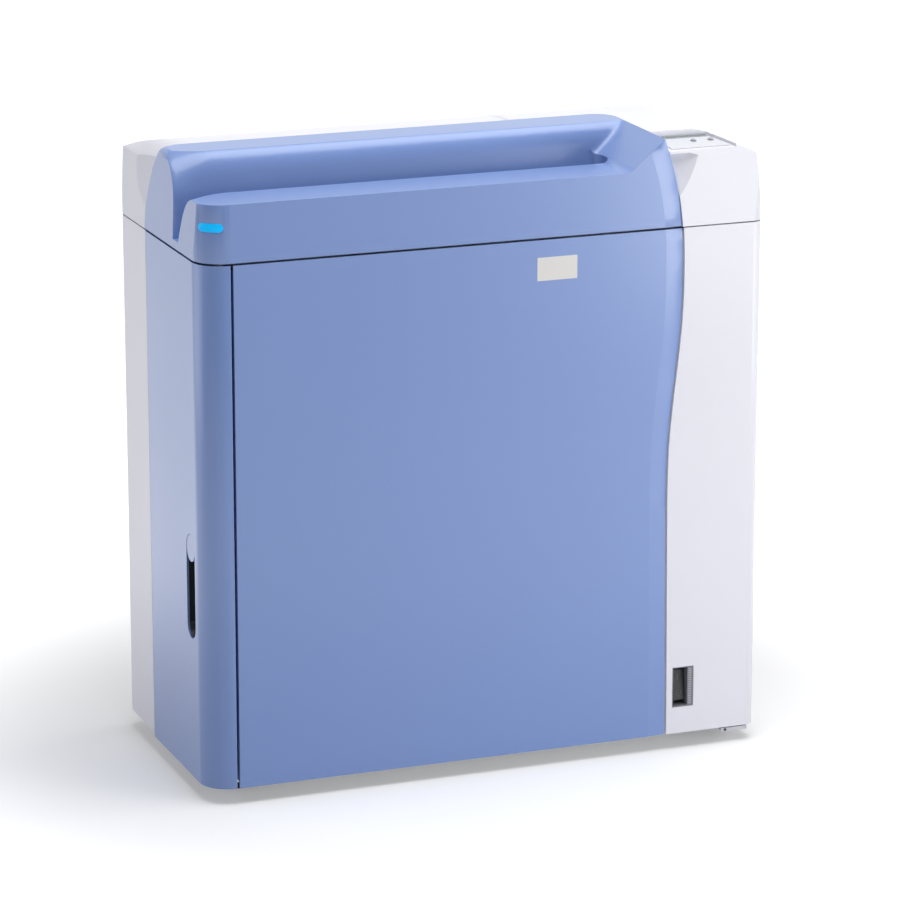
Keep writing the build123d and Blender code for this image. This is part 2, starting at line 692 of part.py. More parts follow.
# Scoops beside the blue lid: centre, half-lengths and turn of each hollow
FRONT_SCOOP = ((218.0, FRONT - 100, SEAM + 99), (108.0, 113.5, 188.0), (0, 17, 0))
SIDE_SCOOP = ((LEFT - 90, FRONT + 185, SEAM + 90), (104.0, 200.0, 140.0), (-6, 0, 0))

# Pads behind the scoops, as ranges along X, Y and Z
FRONT_PAD = ((180.0, 290.0), (FRONT, FRONT + 20), (SEAM + 8, RIDGE - 10))
SIDE_PAD = ((LEFT, LEFT + 17), (FRONT + 160, FRONT + 262), (SEAM + 16, RIDGE - 6))


def scoop(centre, half_lengths, turn):
    """Lower half of an ellipsoid, turned about its centre."""
    x, y, z = centre
    with BuildPart() as hollow:
        Sphere(1.0)
        scale(by=half_lengths)
        slab((-250, 250), (-250, 250), (-250, 0), mode=Mode.INTERSECT)
    return hollow.part.moved(Location((x, y, z), turn))


# White shell shared by the two top covers, thickened behind its scoops
with BuildPart() as scoop_backing:
    slab(*FRONT_PAD)
    slab(*SIDE_PAD)
    add(white_envelope(0.01, WHITE_BOTTOM), mode=Mode.INTERSECT)

with BuildPart() as white_shell:
    add(white_envelope(0, WHITE_BOTTOM))
    add(white_envelope(WALL, WHITE_BOTTOM - 1), mode=Mode.SUBTRACT)
    add(scoop_backing.part)
    add(scoop(*FRONT_SCOOP), mode=Mode.SUBTRACT)
    add(scoop(*SIDE_SCOOP), mode=Mode.SUBTRACT)
    add(blue_zone(PANEL_GAP), mode=Mode.SUBTRACT)

# Left part of the white top
with BuildPart() as top_cover_left:
    add(white_shell.part)
    slab((LEFT - 1, TOP_SPLIT_X - 0.4), (FRONT - 1, BACK + 1), (SEAM, RIDGE + 1), mode=Mode.INTERSECT)
    for x in (-240, 20):
        slab((x, x + 12), (142, REAR_PANEL_Y - 1), (PLATE_TOP, SEAM + 20))
        slab((x, x + 12), (155, BACK - 2.5), (SEAM + 5, SEAM + 20))
save(top_cover_left, "top_cover_left")

PANEL_PLANE = Plane(
    origin=(0, PANEL_FRONT, PANEL_HEIGHT),
    x_dir=(1, 0, 0),
    z_dir=(0, -sin(PANEL_TILT * pi / 180), cos(PANEL_TILT * pi / 180)),
)


def panel_space(grow, height):
    """Upright prism on the operation panel's tilted floor, open to the front."""
    with BuildPart() as space:
        with BuildSketch(PANEL_PLANE):
            with BuildLine():
                Polyline(
                    (PANEL_LEFT - grow, -8),
                    (PANEL_RIGHT_FRONT + grow, -8),
                    (PANEL_RIGHT_REAR + grow, PANEL_LENGTH + grow),
                    (PANEL_LEFT - grow, PANEL_LENGTH + grow),
                    close=True,
                )
            make_face()
        extrude(amount=height, dir=(0, 0, 1))
    return space.part


def button_rods(radius, low, length, centres=BUTTON_X):
    """Round bars square to the panel's floor at the buttons, from low upwards."""
    with BuildPart() as rods:
        with BuildSketch(PANEL_PLANE.offset(low)):
            with Locations(*((x, BUTTON_REACH) for x in centres)):
                Circle(radius)
        extrude(amount=length)
    return rods.part


# Solid corner round the operation panel, inside the white top's outer form
with BuildPart() as panel_block:
    add(panel_space(WALL, 30).moved(Location((0, 0, -WALL))))
    add(white_envelope(0.01, WHITE_BOTTOM), mode=Mode.INTERSECT)

# Right part of the white top, with the operation panel's floor
with BuildPart() as top_cover_right:
    add(white_shell.part)
    slab((TOP_SPLIT_X + 0.4, RIGHT + 1), (FRONT - 1, BACK + 1), (SEAM, RIDGE + 1), mode=Mode.INTERSECT)
    add(panel_block.part)
    add(panel_space(0, 30), mode=Mode.SUBTRACT)
    add(button_rods(BUTTON_RADIUS + 0.4, -10, 20), mode=Mode.SUBTRACT)
    add(blue_zone(PANEL_GAP), mode=Mode.SUBTRACT)
    for x in (160, 300):
        slab((x, x + 12), (142, REAR_PANEL_Y - 1), (PLATE_TOP, SEAM + 20))
        slab((x, x + 12), (155, BACK - 2.5), (SEAM + 5, SEAM + 20))
save(top_cover_right, "top_cover_right")

# Operation panel: a printed plate and two sprung buttons
with BuildPart() as panel_plate:
    with BuildSketch(PANEL_PLANE):
        with BuildLine():
            Polyline(
                (PANEL_LEFT + 10, FILM_FRONT),
                (PANEL_RIGHT_FRONT - 7, FILM_FRONT),
                (PANEL_RIGHT_REAR - 2, PANEL_LENGTH - 1),
                (PANEL_LEFT + 6, PANEL_LENGTH - 1),
                close=True,
            )
        make_face()
    extrude(amount=PLATE_THICK)
    add(button_rods(BUTTON_RADIUS + 0.4, -1, 4), mode=Mode.SUBTRACT)
save(panel_plate, "panel_plate")

for x, button_name in zip(BUTTON_X, ("start_button", "stop_button")):
    with BuildPart() as button:
        add(button_rods(BUTTON_RADIUS, -6, 9.5, (x,)))
        fillet(button.edges().sort_by(Axis.Z)[-1], 0.7)
    save(button, button_name)

# Mains switch: a deep window liner and a rocker
with BuildPart() as switch_housing:
    slab((SWITCH_LEFT, SWITCH_RIGHT), (FRONT + 0.6, FRONT + SWITCH_DEPTH), (SWITCH_BOTTOM, SWITCH_TOP))
    slab((SWITCH_LEFT + 1.5, SWITCH_RIGHT - 8), (FRONT, FRONT + SWITCH_DEPTH - 2),
         (SWITCH_BOTTOM + 1.5, SWITCH_TOP - 1.5), mode=Mode.SUBTRACT)
save(switch_housing, "switch_housing")

ROCKER_Y = FRONT + SWITCH_DEPTH - 8.5
ROCKER_Z = (SWITCH_BOTTOM + SWITCH_TOP) / 2
ROCKER_LEFT = SWITCH_LEFT + 2.2
ROCKER_RIGHT = SWITCH_RIGHT - 8.7
with BuildPart() as power_rocker:
    with BuildSketch(Plane.YZ.offset(ROCKER_LEFT)):
        with Locations(Location((ROCKER_Y, ROCKER_Z), -ROCKER_TILT)):
            Rectangle(6, 38)
    extrude(amount=ROCKER_RIGHT - ROCKER_LEFT)
save(power_rocker, "power_rocker")

# Base tray with a floor and low walls, on four rubber feet
TRAY_FRONT = FRONT + 22.0
with BuildPart() as base_tray:
    slab((LEFT + 12, RIGHT - 12), (TRAY_FRONT, BACK - 6), (FLOOR_TOP - 7, FLOOR_TOP))
    fillet(base_tray.edges().filter_by(Axis.Z), 22)
    for x in (-290, 290):
        for y in (-90, 110):
            rod(5.0, (x, y, FLOOR_TOP - 8), 10, mode=Mode.SUBTRACT)
save(base_tray, "base_tray")

with BuildPart() as rubber_feet:
    for x in (-290, 290):
        for y in (-90, 110):
            rod(22.0, (x, y, 0), FLOOR_TOP - 7)
            rod(5.0, (x, y, 0), FLOOR_TOP)
save(rubber_feet, "rubber_feet")

# Folded bracket that hangs under the right front edge
with BuildPart() as skirt_bracket:
    slab((306, 341), (FRONT + 4, FRONT + 40), (15.5, 17.5))
    slab((306, 341), (FRONT + 4, FRONT + 6), (13, 17.5))
    slab((306, 341), (TRAY_FRONT, FRONT + 40), (17.5, FLOOR_TOP - 7))
save(skirt_bracket, "skirt_bracket")

# Side plates of the inner frame
with BuildPart() as left_side_plate:
    slab((LEFT_PLATE_X, LEFT_PLATE_X + PLATE), (PLATE_FRONT, REAR_BAR_BACK), (FLOOR_TOP, PLATE_TOP))
    for side in (-1, 1):
        rod(11.0, (LEFT_PLATE_X - 5, CASSETTE_Y + side * ROLLER_SPACING / 2, FEED_HEIGHT), 10, "X",
            Mode.SUBTRACT)
    slab((LEFT_PLATE_X - 1, LEFT_PLATE_X + 3), (20, 100), (120, 320), mode=Mode.SUBTRACT)
    rod(6.0, (LEFT_PLATE_X - 5, POCKET_Y, POCKET_TOP - TAB_HEIGHT / 2), 10, "X", Mode.SUBTRACT)
save(left_side_plate, "left_side_plate")

with BuildPart() as bay_plate:
    slab((BAY_PLATE_X, BAY_PLATE_X + PLATE), (PLATE_FRONT, PLATE_BACK), (FLOOR_TOP, PLATE_TOP))
    for side in (-1, 1):
        rod(11.0, (BAY_PLATE_X - 5, CASSETTE_Y + side * ROLLER_SPACING / 2, FEED_HEIGHT), 10, "X",
            Mode.SUBTRACT)
save(bay_plate, "bay_plate")

with BuildPart() as right_side_plate:
    slab((RIGHT_PLATE_X, RIGHT_PLATE_X + PLATE), (PLATE_FRONT - 20, PLATE_BACK), (FLOOR_TOP, PLATE_TOP))
    slab((RIGHT_PLATE_X - 1, RIGHT_PLATE_X + 3), (0, 120), (200, 480), mode=Mode.SUBTRACT)
save(right_side_plate, "right_side_plate")

# Cross bars between the plates, front and rear
with BuildPart() as cross_bars:
    for x_range in ((LEFT_PLATE_X + PLATE, BAY_PLATE_X), (BAY_PLATE_X + PLATE, RIGHT_PLATE_X)):
        slab(x_range, (REAR_BAR_BACK - 14, REAR_BAR_BACK), (PLATE_TOP - 14, PLATE_TOP))
        slab(x_range, (PLATE_FRONT, PLATE_FRONT + 8), (PLATE_TOP - 8, PLATE_TOP))
save(cross_bars, "cross_bars")

# Feed rollers that draw the cassette in
ROLLERS = (("front", CASSETTE_Y - ROLLER_SPACING / 2), ("rear", CASSETTE_Y + ROLLER_SPACING / 2))
SLEEVE_CENTRES = (-250, -160, -70, 20, 110)
for roller_name, roller_y in ROLLERS:
    shaft_length = GEAR_X + GEAR_WIDTH + 4 - LEFT_PLATE_X
    with BuildPart() as feed_shaft:
        rod(FEED_SHAFT_RADIUS, (LEFT_PLATE_X - 4, roller_y, FEED_HEIGHT), shaft_length, "X")
    save(feed_shaft, f"feed_shaft_{roller_name}")

    with BuildPart() as feed_sleeves:
        for centre in SLEEVE_CENTRES:
            rod(ROLLER_RADIUS, (centre - 15, roller_y, FEED_HEIGHT), 30, "X")
            rod(FEED_SHAFT_RADIUS, (centre - 16, roller_y, FEED_HEIGHT), 32, "X", Mode.SUBTRACT)
    save(feed_sleeves, f"feed_sleeves_{roller_name}")

with BuildPart() as feed_bearings:
    for x in (LEFT_PLATE_X - 2.5, BAY_PLATE_X - 2.5):
        for _, roller_y in ROLLERS:
            rod(11.0, (x, roller_y, FEED_HEIGHT), 7, "X")
            rod(FEED_SHAFT_RADIUS + RUNNING_FIT, (x - 1, roller_y, FEED_HEIGHT), 9, "X", Mode.SUBTRACT)
save(feed_bearings, "feed_bearings")

# Gears on the roller shafts and the motor's pinion below the front one
STEP = 2 * pi / GEAR_TEETH
PINION_Z = FEED_HEIGHT - GEAR_MODULE * (GEAR_TEETH + PINION_TEETH) / 2
GEARS = (
    ("feed_gear_front", ROLLERS[0][1], FEED_HEIGHT, GEAR_TEETH, 0.0, FEED_SHAFT_RADIUS),
    ("feed_gear_rear", ROLLERS[1][1], FEED_HEIGHT, GEAR_TEETH, pi + STEP / 2, FEED_SHAFT_RADIUS),
    ("feed_pinion", ROLLERS[0][1], PINION_Z, PINION_TEETH, pi / 2, 2.5),
)
for gear_name, gear_y, gear_z, teeth, turn, bore in GEARS:
    with BuildPart() as gear:
        with BuildSketch(Plane.YZ.offset(GEAR_X)):
            with BuildLine():
                outline = [(gear_y + y, gear_z + z) for y, z in gear_outline(teeth, GEAR_MODULE, turn)]
                Polyline(*outline, close=True)
            make_face()
            with Locations((gear_y, gear_z)):
                Circle(bore, mode=Mode.SUBTRACT)
        extrude(amount=GEAR_WIDTH)
        if gear_name == "feed_pinion":
            rod(bore, (GEAR_X, gear_y, gear_z), GEAR_WIDTH + 3, "X")
    save(gear, gear_name)

MOTOR_X = GEAR_X + GEAR_WIDTH + 3
with BuildPart() as feed_motor:
    slab((MOTOR_X, MOTOR_X + 40), (ROLLERS[0][1] - 21, ROLLERS[0][1] + 21), (PINION_Z - 21, PINION_Z + 21))
    rod(2.55, (MOTOR_X - 1, ROLLERS[0][1], PINION_Z), 4, "X", Mode.SUBTRACT)
    slab((BAY_PLATE_X + PLATE, MOTOR_X + 40), (ROLLERS[0][1] - 21, ROLLERS[0][1] + 21),
         (PINION_Z - 24, PINION_Z - 21))
save(feed_motor, "feed_motor")

with BuildPart() as slot_shutter:
    rod(SHUTTER_ROD, (SLOT_LEFT - 8, SHUTTER_Y, SHUTTER_Z), SLOT_RIGHT - SLOT_LEFT + 16, "X")
    slab((SLOT_LEFT + 2, SLOT_RIGHT - 2), (CASSETTE_Y - SLOT_WIDTH / 2 + 1, SHUTTER_Y),
         (SHUTTER_Z - 1, SHUTTER_Z + 1))
save(slot_shutter, "slot_shutter")

# Guide rods of the cassette tray and rails of the scan carriage
with BuildPart() as guide_rods:
    for x, y in ((GUIDE_LEFT_X, TRAY_ROD_LEFT_Y), (GUIDE_RIGHT_X, TRAY_ROD_RIGHT_Y)):
        rod(TRAY_ROD_RADIUS, (x, y, FLOOR_TOP), GUIDE_TOP - FLOOR_TOP)
save(guide_rods, "guide_rods")

with BuildPart() as scan_rails:
    for x in (GUIDE_LEFT_X, GUIDE_RIGHT_X):
        rod(RAIL_RADIUS, (x, RAIL_Y, FLOOR_TOP), GUIDE_TOP - FLOOR_TOP)
save(scan_rails, "scan_rails")

CLAMP_FRONT = RAIL_Y - 10.0
SCREWS = (("tray", TRAY_SCREW_Y), ("scan", SCAN_SCREW_Y))
with BuildPart() as rod_clamps:
    slab((LEFT_PLATE_X + PLATE, GUIDE_LEFT_X + 12), (CLAMP_FRONT, TRAY_ROD_LEFT_Y + 12),
         (GUIDE_TOP - 12, GUIDE_TOP))
    slab((LEFT_PLATE_X + PLATE, GUIDE_LEFT_X + 12), (CLAMP_FRONT, TRAY_ROD_LEFT_Y + 12),
         (FLOOR_TOP, FLOOR_TOP + 12))
    slab((GUIDE_RIGHT_X - 14, BAY_PLATE_X), (CLAMP_FRONT, TRAY_ROD_RIGHT_Y + 12),
         (GUIDE_TOP - 12, GUIDE_TOP))
    slab((GUIDE_RIGHT_X - 12, BAY_PLATE_X), (CLAMP_FRONT, RAIL_Y + 7), (FLOOR_TOP, FLOOR_TOP + 12))
    slab((GUIDE_RIGHT_X - 12, BAY_PLATE_X), (TRAY_ROD_RIGHT_Y - 7, TRAY_ROD_RIGHT_Y + 12),
         (FLOOR_TOP, FLOOR_TOP + 12))
    for x, y, radius in (
        (GUIDE_LEFT_X, TRAY_ROD_LEFT_Y, TRAY_ROD_RADIUS),
        (GUIDE_RIGHT_X, TRAY_ROD_RIGHT_Y, TRAY_ROD_RADIUS),
        (GUIDE_LEFT_X, RAIL_Y, RAIL_RADIUS),
        (GUIDE_RIGHT_X, RAIL_Y, RAIL_RADIUS),
        (GUIDE_RIGHT_X, TRAY_SCREW_Y, SCREW_RADIUS + RUNNING_FIT),
        (GUIDE_RIGHT_X, SCAN_SCREW_Y, SCREW_RADIUS + RUNNING_FIT),
    ):
        rod(radius, (x, y, FLOOR_TOP - 1), GUIDE_TOP, mode=Mode.SUBTRACT)
save(rod_clamps, "rod_clamps")

for screw_name, screw_y in SCREWS:
    with BuildPart() as screw:
        rod(SCREW_RADIUS, (GUIDE_RIGHT_X, screw_y, MOTOR_TOP + 0.5), GUIDE_TOP + 2 - MOTOR_TOP)
    save(screw, f"{screw_name}_screw")

with BuildPart() as screw_motors:
    for _, screw_y in SCREWS:
        half = MOTOR_SIZE / 2 - (3.0 if screw_y == SCAN_SCREW_Y else 0.0)
        slab((GUIDE_RIGHT_X - 18, GUIDE_RIGHT_X + 18), (screw_y - half, screw_y + half),
             (FLOOR_TOP, MOTOR_TOP))
save(screw_motors, "screw_motors")

# Cassette tray: a ledge with a lip, a bushing at each end and a nut on the screw
BUSH_LOW = TRAY_LEDGE - 12.0
BUSH_HIGH = TRAY_LEDGE + 18.0
with BuildPart() as cassette_tray:
    slab((PLATE_LEFT, PLATE_RIGHT), (CASSETTE_Y - 12, CASSETTE_Y + 12), (TRAY_LEDGE - 4, TRAY_LEDGE))
    slab((PLATE_LEFT, PLATE_RIGHT), (CASSETTE_Y - 12, CASSETTE_Y - 9), (TRAY_LEDGE, TRAY_LEDGE + 14))
    slab((PLATE_LEFT, PLATE_RIGHT), (CASSETTE_Y + 9, CASSETTE_Y + 12), (TRAY_LEDGE, TRAY_LEDGE + 14))
    slab((GUIDE_LEFT_X, PLATE_LEFT), (CASSETTE_Y - 9, CASSETTE_Y + 9), (BUSH_LOW, TRAY_LEDGE))
    slab((PLATE_RIGHT, GUIDE_RIGHT_X), (CASSETTE_Y + 4, CASSETTE_Y + 22), (BUSH_LOW, TRAY_LEDGE))
    slab((PLATE_RIGHT - 10, PLATE_RIGHT), (CASSETTE_Y, CASSETTE_Y + 22), (BUSH_LOW, TRAY_LEDGE))
    slab((GUIDE_RIGHT_X - 4, GUIDE_RIGHT_X + 4), (TRAY_SCREW_Y, TRAY_ROD_RIGHT_Y), (BUSH_LOW, BUSH_HIGH))
    bushings = (
        (GUIDE_LEFT_X, TRAY_ROD_LEFT_Y, TRAY_ROD_RADIUS, 10.0),
        (GUIDE_RIGHT_X, TRAY_ROD_RIGHT_Y, TRAY_ROD_RADIUS, 9.0),
        (GUIDE_RIGHT_X, TRAY_SCREW_Y, SCREW_RADIUS, 10.0),
    )
    for x, y, _, outer in bushings:
        rod(outer, (x, y, BUSH_LOW), BUSH_HIGH - BUSH_LOW)
    for x, y, inner, _ in bushings:
        rod(inner + RUNNING_FIT, (x, y, BUSH_LOW - 1), 40, mode=Mode.SUBTRACT)
save(cassette_tray, "cassette_tray")

# Scan carriage: a back plate with bushings on both rails and a nut
LOWER_BUSH = 82.0
UPPER_BUSH = 225.0
CARRIAGE_TOP = CARRIAGE_BOTTOM + CARRIAGE_HEIGHT
with BuildPart() as scan_carriage:
    slab((PLATE_LEFT, PLATE_RIGHT), (CARRIAGE_Y - 2, CARRIAGE_Y + 2), (CARRIAGE_BOTTOM, CARRIAGE_TOP))
    for low in (LOWER_BUSH, UPPER_BUSH):
        slab((GUIDE_LEFT_X + 6, PLATE_LEFT + 8), (RAIL_Y + 2, CARRIAGE_Y + 2), (low, low + 30))
        slab((PLATE_RIGHT - 8, GUIDE_RIGHT_X - 6), (RAIL_Y + 2, CARRIAGE_Y + 2), (low, low + 30))
        for x in (GUIDE_LEFT_X, GUIDE_RIGHT_X):
            rod(9.5, (x, RAIL_Y, low), 30)
    slab((GUIDE_RIGHT_X - 4, GUIDE_RIGHT_X + 4), (RAIL_Y, SCAN_SCREW_Y), (UPPER_BUSH, UPPER_BUSH + 30))
    rod(9.5, (GUIDE_RIGHT_X, SCAN_SCREW_Y, UPPER_BUSH), 30)
    for x in (GUIDE_LEFT_X, GUIDE_RIGHT_X):
        rod(RAIL_RADIUS + RUNNING_FIT, (x, RAIL_Y, 60), 240, mode=Mode.SUBTRACT)
    rod(SCREW_RADIUS + RUNNING_FIT, (GUIDE_RIGHT_X, SCAN_SCREW_Y, 200), 80, mode=Mode.SUBTRACT)
save(scan_carriage, "scan_carriage")

with BuildPart() as magnet_plate:
    slab((PLATE_LEFT + 10, PLATE_RIGHT - 10), (CARRIAGE_Y + 2, CARRIAGE_Y + 4),
         (CARRIAGE_BOTTOM + 12, CARRIAGE_TOP - 12))
save(magnet_plate, "magnet_plate")

# Optical box with a beam slit, a polygon mirror and a scan lens
with BuildPart() as optical_box:
    slab((OPTICS_LEFT, OPTICS_RIGHT), (OPTICS_FRONT, OPTICS_BACK), (OPTICS_BOTTOM, OPTICS_TOP))
    slab((OPTICS_LEFT + 4, OPTICS_RIGHT - 4), (OPTICS_FRONT + 4, OPTICS_BACK - 4),
         (OPTICS_BOTTOM + 4, OPTICS_TOP - 4), mode=Mode.SUBTRACT)
    slab((OPTICS_LEFT + 20, OPTICS_RIGHT - 20), (OPTICS_FRONT - 1, OPTICS_FRONT + 5),
         (SCAN_HEIGHT - 5, SCAN_HEIGHT + 5), mode=Mode.SUBTRACT)
    rod(16.0, (POLYGON_X, POLYGON_Y, OPTICS_BOTTOM + 3), 23)
    rod(3.0 + RUNNING_FIT, (POLYGON_X, POLYGON_Y, OPTICS_BOTTOM + 6), 30, mode=Mode.SUBTRACT)
    slab((BAY_PLATE_X - 190, BAY_PLATE_X), (OPTICS_BACK - 24, OPTICS_BACK - 12),
         (OPTICS_BOTTOM - 6, OPTICS_BOTTOM))
    slab((LEFT_PLATE_X + PLATE, OPTICS_LEFT + 60), (OPTICS_BACK - 24, OPTICS_BACK - 12),
         (OPTICS_BOTTOM - 6, OPTICS_BOTTOM))
save(optical_box, "optical_box")

with BuildPart() as polygon_mirror:
    with BuildSketch(Plane.XY.offset(SCAN_HEIGHT - 12)):
        with Locations((POLYGON_X, POLYGON_Y)):
            RegularPolygon(24, 6)
    extrude(amount=16)
    rod(3.0, (POLYGON_X, POLYGON_Y, OPTICS_BOTTOM + 8), 26)
save(polygon_mirror, "polygon_mirror")

with BuildPart() as scan_lens:
    with BuildSketch(Plane.XY.offset(OPTICS_BOTTOM + 4)):
        with BuildLine():
            Line((POLYGON_X - 70, OPTICS_FRONT + 18), (POLYGON_X + 70, OPTICS_FRONT + 18))
            Line((POLYGON_X + 70, OPTICS_FRONT + 18), (POLYGON_X + 70, OPTICS_FRONT + 26))
            ThreePointArc((POLYGON_X + 70, OPTICS_FRONT + 26), (POLYGON_X, OPTICS_FRONT + 40),
                          (POLYGON_X - 70, OPTICS_FRONT + 26))
            Line((POLYGON_X - 70, OPTICS_FRONT + 26), (POLYGON_X - 70, OPTICS_FRONT + 18))
        make_face()
    extrude(amount=60)
save(scan_lens, "scan_lens")

# Light guide along the scan line and its two photomultipliers
GUIDE_FRONT = CASSETTE_Y + 20.0
GUIDE_BACK = -8.0
with BuildPart() as light_guide:
    with BuildSketch(Plane.YZ.offset(PLATE_LEFT + 10)):
        with BuildLine():
            Polyline(
                (GUIDE_FRONT, SCAN_HEIGHT + 6),
                (GUIDE_FRONT, SCAN_HEIGHT + 12),
                (GUIDE_BACK, SCAN_HEIGHT + 42),
                (GUIDE_BACK, SCAN_HEIGHT + 20),
                close=True,
            )
        make_face()
    extrude(amount=PLATE_RIGHT - PLATE_LEFT - 30)
save(light_guide, "light_guide")

with BuildPart() as photomultiplier:
    for x in (-230, 105):
        rod(17.0, (x, GUIDE_BACK, SCAN_HEIGHT + 31), 62, "Y")
        slab((x - 3, x + 3), (GUIDE_BACK + 20, REAR_BAR_BACK), (SCAN_HEIGHT + 45, SCAN_HEIGHT + 51))
        slab((x - 3, x + 3), (REAR_BAR_BACK - 8, REAR_BAR_BACK), (SCAN_HEIGHT + 45, PLATE_TOP - 14))
save(photomultiplier, "photomultiplier")

# Erasure lamps in a trough-shaped reflector across the bay
with BuildPart() as erasure_lamps:
    slab((LEFT_PLATE_X + PLATE, GUIDE_RIGHT_X - 20), (-50, -24), (565, 567))
    slab((LEFT_PLATE_X + PLATE, GUIDE_RIGHT_X - 20), (-26, -24), (567, 590))
    for x in (PLATE_LEFT, PLATE_RIGHT - 15):
        slab((x, x + 5), (-42, -26), (567, 588))
    for height in (572, 582):
        rod(4.0, (PLATE_LEFT + 5, -36, height), PLATE_RIGHT - PLATE_LEFT - 20, "X")
save(erasure_lamps, "erasure_lamps")

# Electronics on the right
with BuildPart() as power_supply:
    slab((220, 320), (-70, 90), (FLOOR_TOP, 150))
save(power_supply, "power_supply")

with BuildPart() as control_board:
    slab((BAY_PLATE_X + 12, BAY_PLATE_X + 13.6), (-20, 140), (260, 520))
    for y, z, depth, height in ((30, 320, 50, 50), (100, 380, 30, 60), (40, 450, 40, 25), (110, 290, 22, 22)):
        slab((BAY_PLATE_X + 13.6, BAY_PLATE_X + 22), (y - depth / 2, y + depth / 2),
             (z - height / 2, z + height / 2))
    for y in (-12, 132):
        for z in (268, 512):
            rod(3.0, (BAY_PLATE_X + PLATE, y, z), 10, "X")
save(control_board, "control_board")

# Magnetic catches that hold the door's steel frame
with BuildPart() as door_catches:
    for x in (-265, 120):
        slab((x, x + 30), (FRONT + 18.5, PLATE_FRONT), (PLATE_TOP - 16, PLATE_TOP - 2))
save(door_catches, "door_catches")

# Rear panel with a fan grille, the mains inlet and the network socket
with BuildPart() as rear_panel:
    slab((REAR_PANEL_LEFT, REAR_PANEL_RIGHT), (REAR_PANEL_Y, REAR_PANEL_Y + PLATE),
         (COVER_BOTTOM + 2, SEAM - 3))
    with BuildSketch(Plane.XZ.offset(-REAR_PANEL_Y - PLATE - 1)):
        for row in range(9):
            reach = (FAN_SIZE / 2 - 6) ** 2 - (row * 9 - 36) ** 2
            with Locations((FAN_X, FAN_Z + row * 9 - 36)):
                SlotOverall(2 * reach**0.5, 5)
        with GridLocations(26, 12, 6, 8):
            with Locations((-160, 150)):
                SlotOverall(20, 5)
        with Locations((INLET_X, INLET_Z)):
            Rectangle(28, 20)
        with Locations((SOCKET_X, SOCKET_Z)):
            Rectangle(16, 14)
    extrude(amount=PLATE + 2, mode=Mode.SUBTRACT)
save(rear_panel, "rear_panel")

with BuildPart() as fan_frame:
    with BuildSketch(Plane.XZ.offset(-REAR_PANEL_Y + FAN_DEPTH)):
        with Locations((FAN_X, FAN_Z)):
            RectangleRounded(FAN_SIZE, FAN_SIZE, 5)
            Circle(FAN_SIZE / 2 - 3, mode=Mode.SUBTRACT)
            Circle(18)
            with PolarLocations(0, 4, 45):
                with Locations((FAN_SIZE / 4 + 4, 0)):
                    Rectangle(FAN_SIZE / 2, 4)
    extrude(amount=-4)
    with BuildSketch(Plane.XZ.offset(-REAR_PANEL_Y + FAN_DEPTH)):
        with Locations((FAN_X, FAN_Z)):
            RectangleRounded(FAN_SIZE, FAN_SIZE, 5)
            Circle(FAN_SIZE / 2 - 3, mode=Mode.SUBTRACT)
    extrude(amount=-FAN_DEPTH)
    rod(2.0, (FAN_X, REAR_PANEL_Y - FAN_DEPTH + 3, FAN_Z), 16, "Y")
save(fan_frame, "fan_frame")

with BuildPart() as fan_rotor:
    rod(18.0, (FAN_X, REAR_PANEL_Y - 19, FAN_Z), 15, "Y")
    for index in range(7):
        angle = 360 * index / 7
        with Locations(Location((FAN_X, REAR_PANEL_Y - 11.5, FAN_Z), (0, angle, 0))):
            with Locations(Location((29, 0, 0), (35, 0, 0))):
                Box(26, 16, 1.6)
    rod(2.0 + RUNNING_FIT, (FAN_X, REAR_PANEL_Y - 20, FAN_Z), 15, "Y", Mode.SUBTRACT)
save(fan_rotor, "fan_rotor")

# Screws of the rear panel
with BuildPart() as cover_screws:
    for x in (REAR_PANEL_LEFT + 8, 0, REAR_PANEL_RIGHT - 8):
        for z in (COVER_BOTTOM + 12, (COVER_BOTTOM + SEAM) / 2, SEAM - 14):
            rod(4.0, (x, REAR_PANEL_Y + PLATE, z), BACK - REAR_PANEL_Y - PLATE, "Y")
save(cover_screws, "cover_screws")

with BuildPart() as mains_inlet:
    slab((INLET_X - 14, INLET_X + 14), (REAR_PANEL_Y - 22, BACK - 0.5), (INLET_Z - 10, INLET_Z + 10))
    slab((INLET_X - 11, INLET_X + 11), (REAR_PANEL_Y - 18, BACK), (INLET_Z - 7.5, INLET_Z + 7.5),
         mode=Mode.SUBTRACT)
    for x, z in ((-6, 2), (0, -2), (6, 2)):
        slab((INLET_X + x - 1, INLET_X + x + 1), (REAR_PANEL_Y - 19, REAR_PANEL_Y - 6),
             (INLET_Z + z - 2, INLET_Z + z + 2))
save(mains_inlet, "mains_inlet")

with BuildPart() as network_socket:
    slab((SOCKET_X - 8, SOCKET_X + 8), (REAR_PANEL_Y - 16, BACK - 0.5), (SOCKET_Z - 7, SOCKET_Z + 7))
    slab((SOCKET_X - 6, SOCKET_X + 6), (REAR_PANEL_Y - 12, BACK), (SOCKET_Z - 4, SOCKET_Z + 5),
         mode=Mode.SUBTRACT)
save(network_socket, "network_socket")
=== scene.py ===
import json
from math import cos, pi, radians, sin

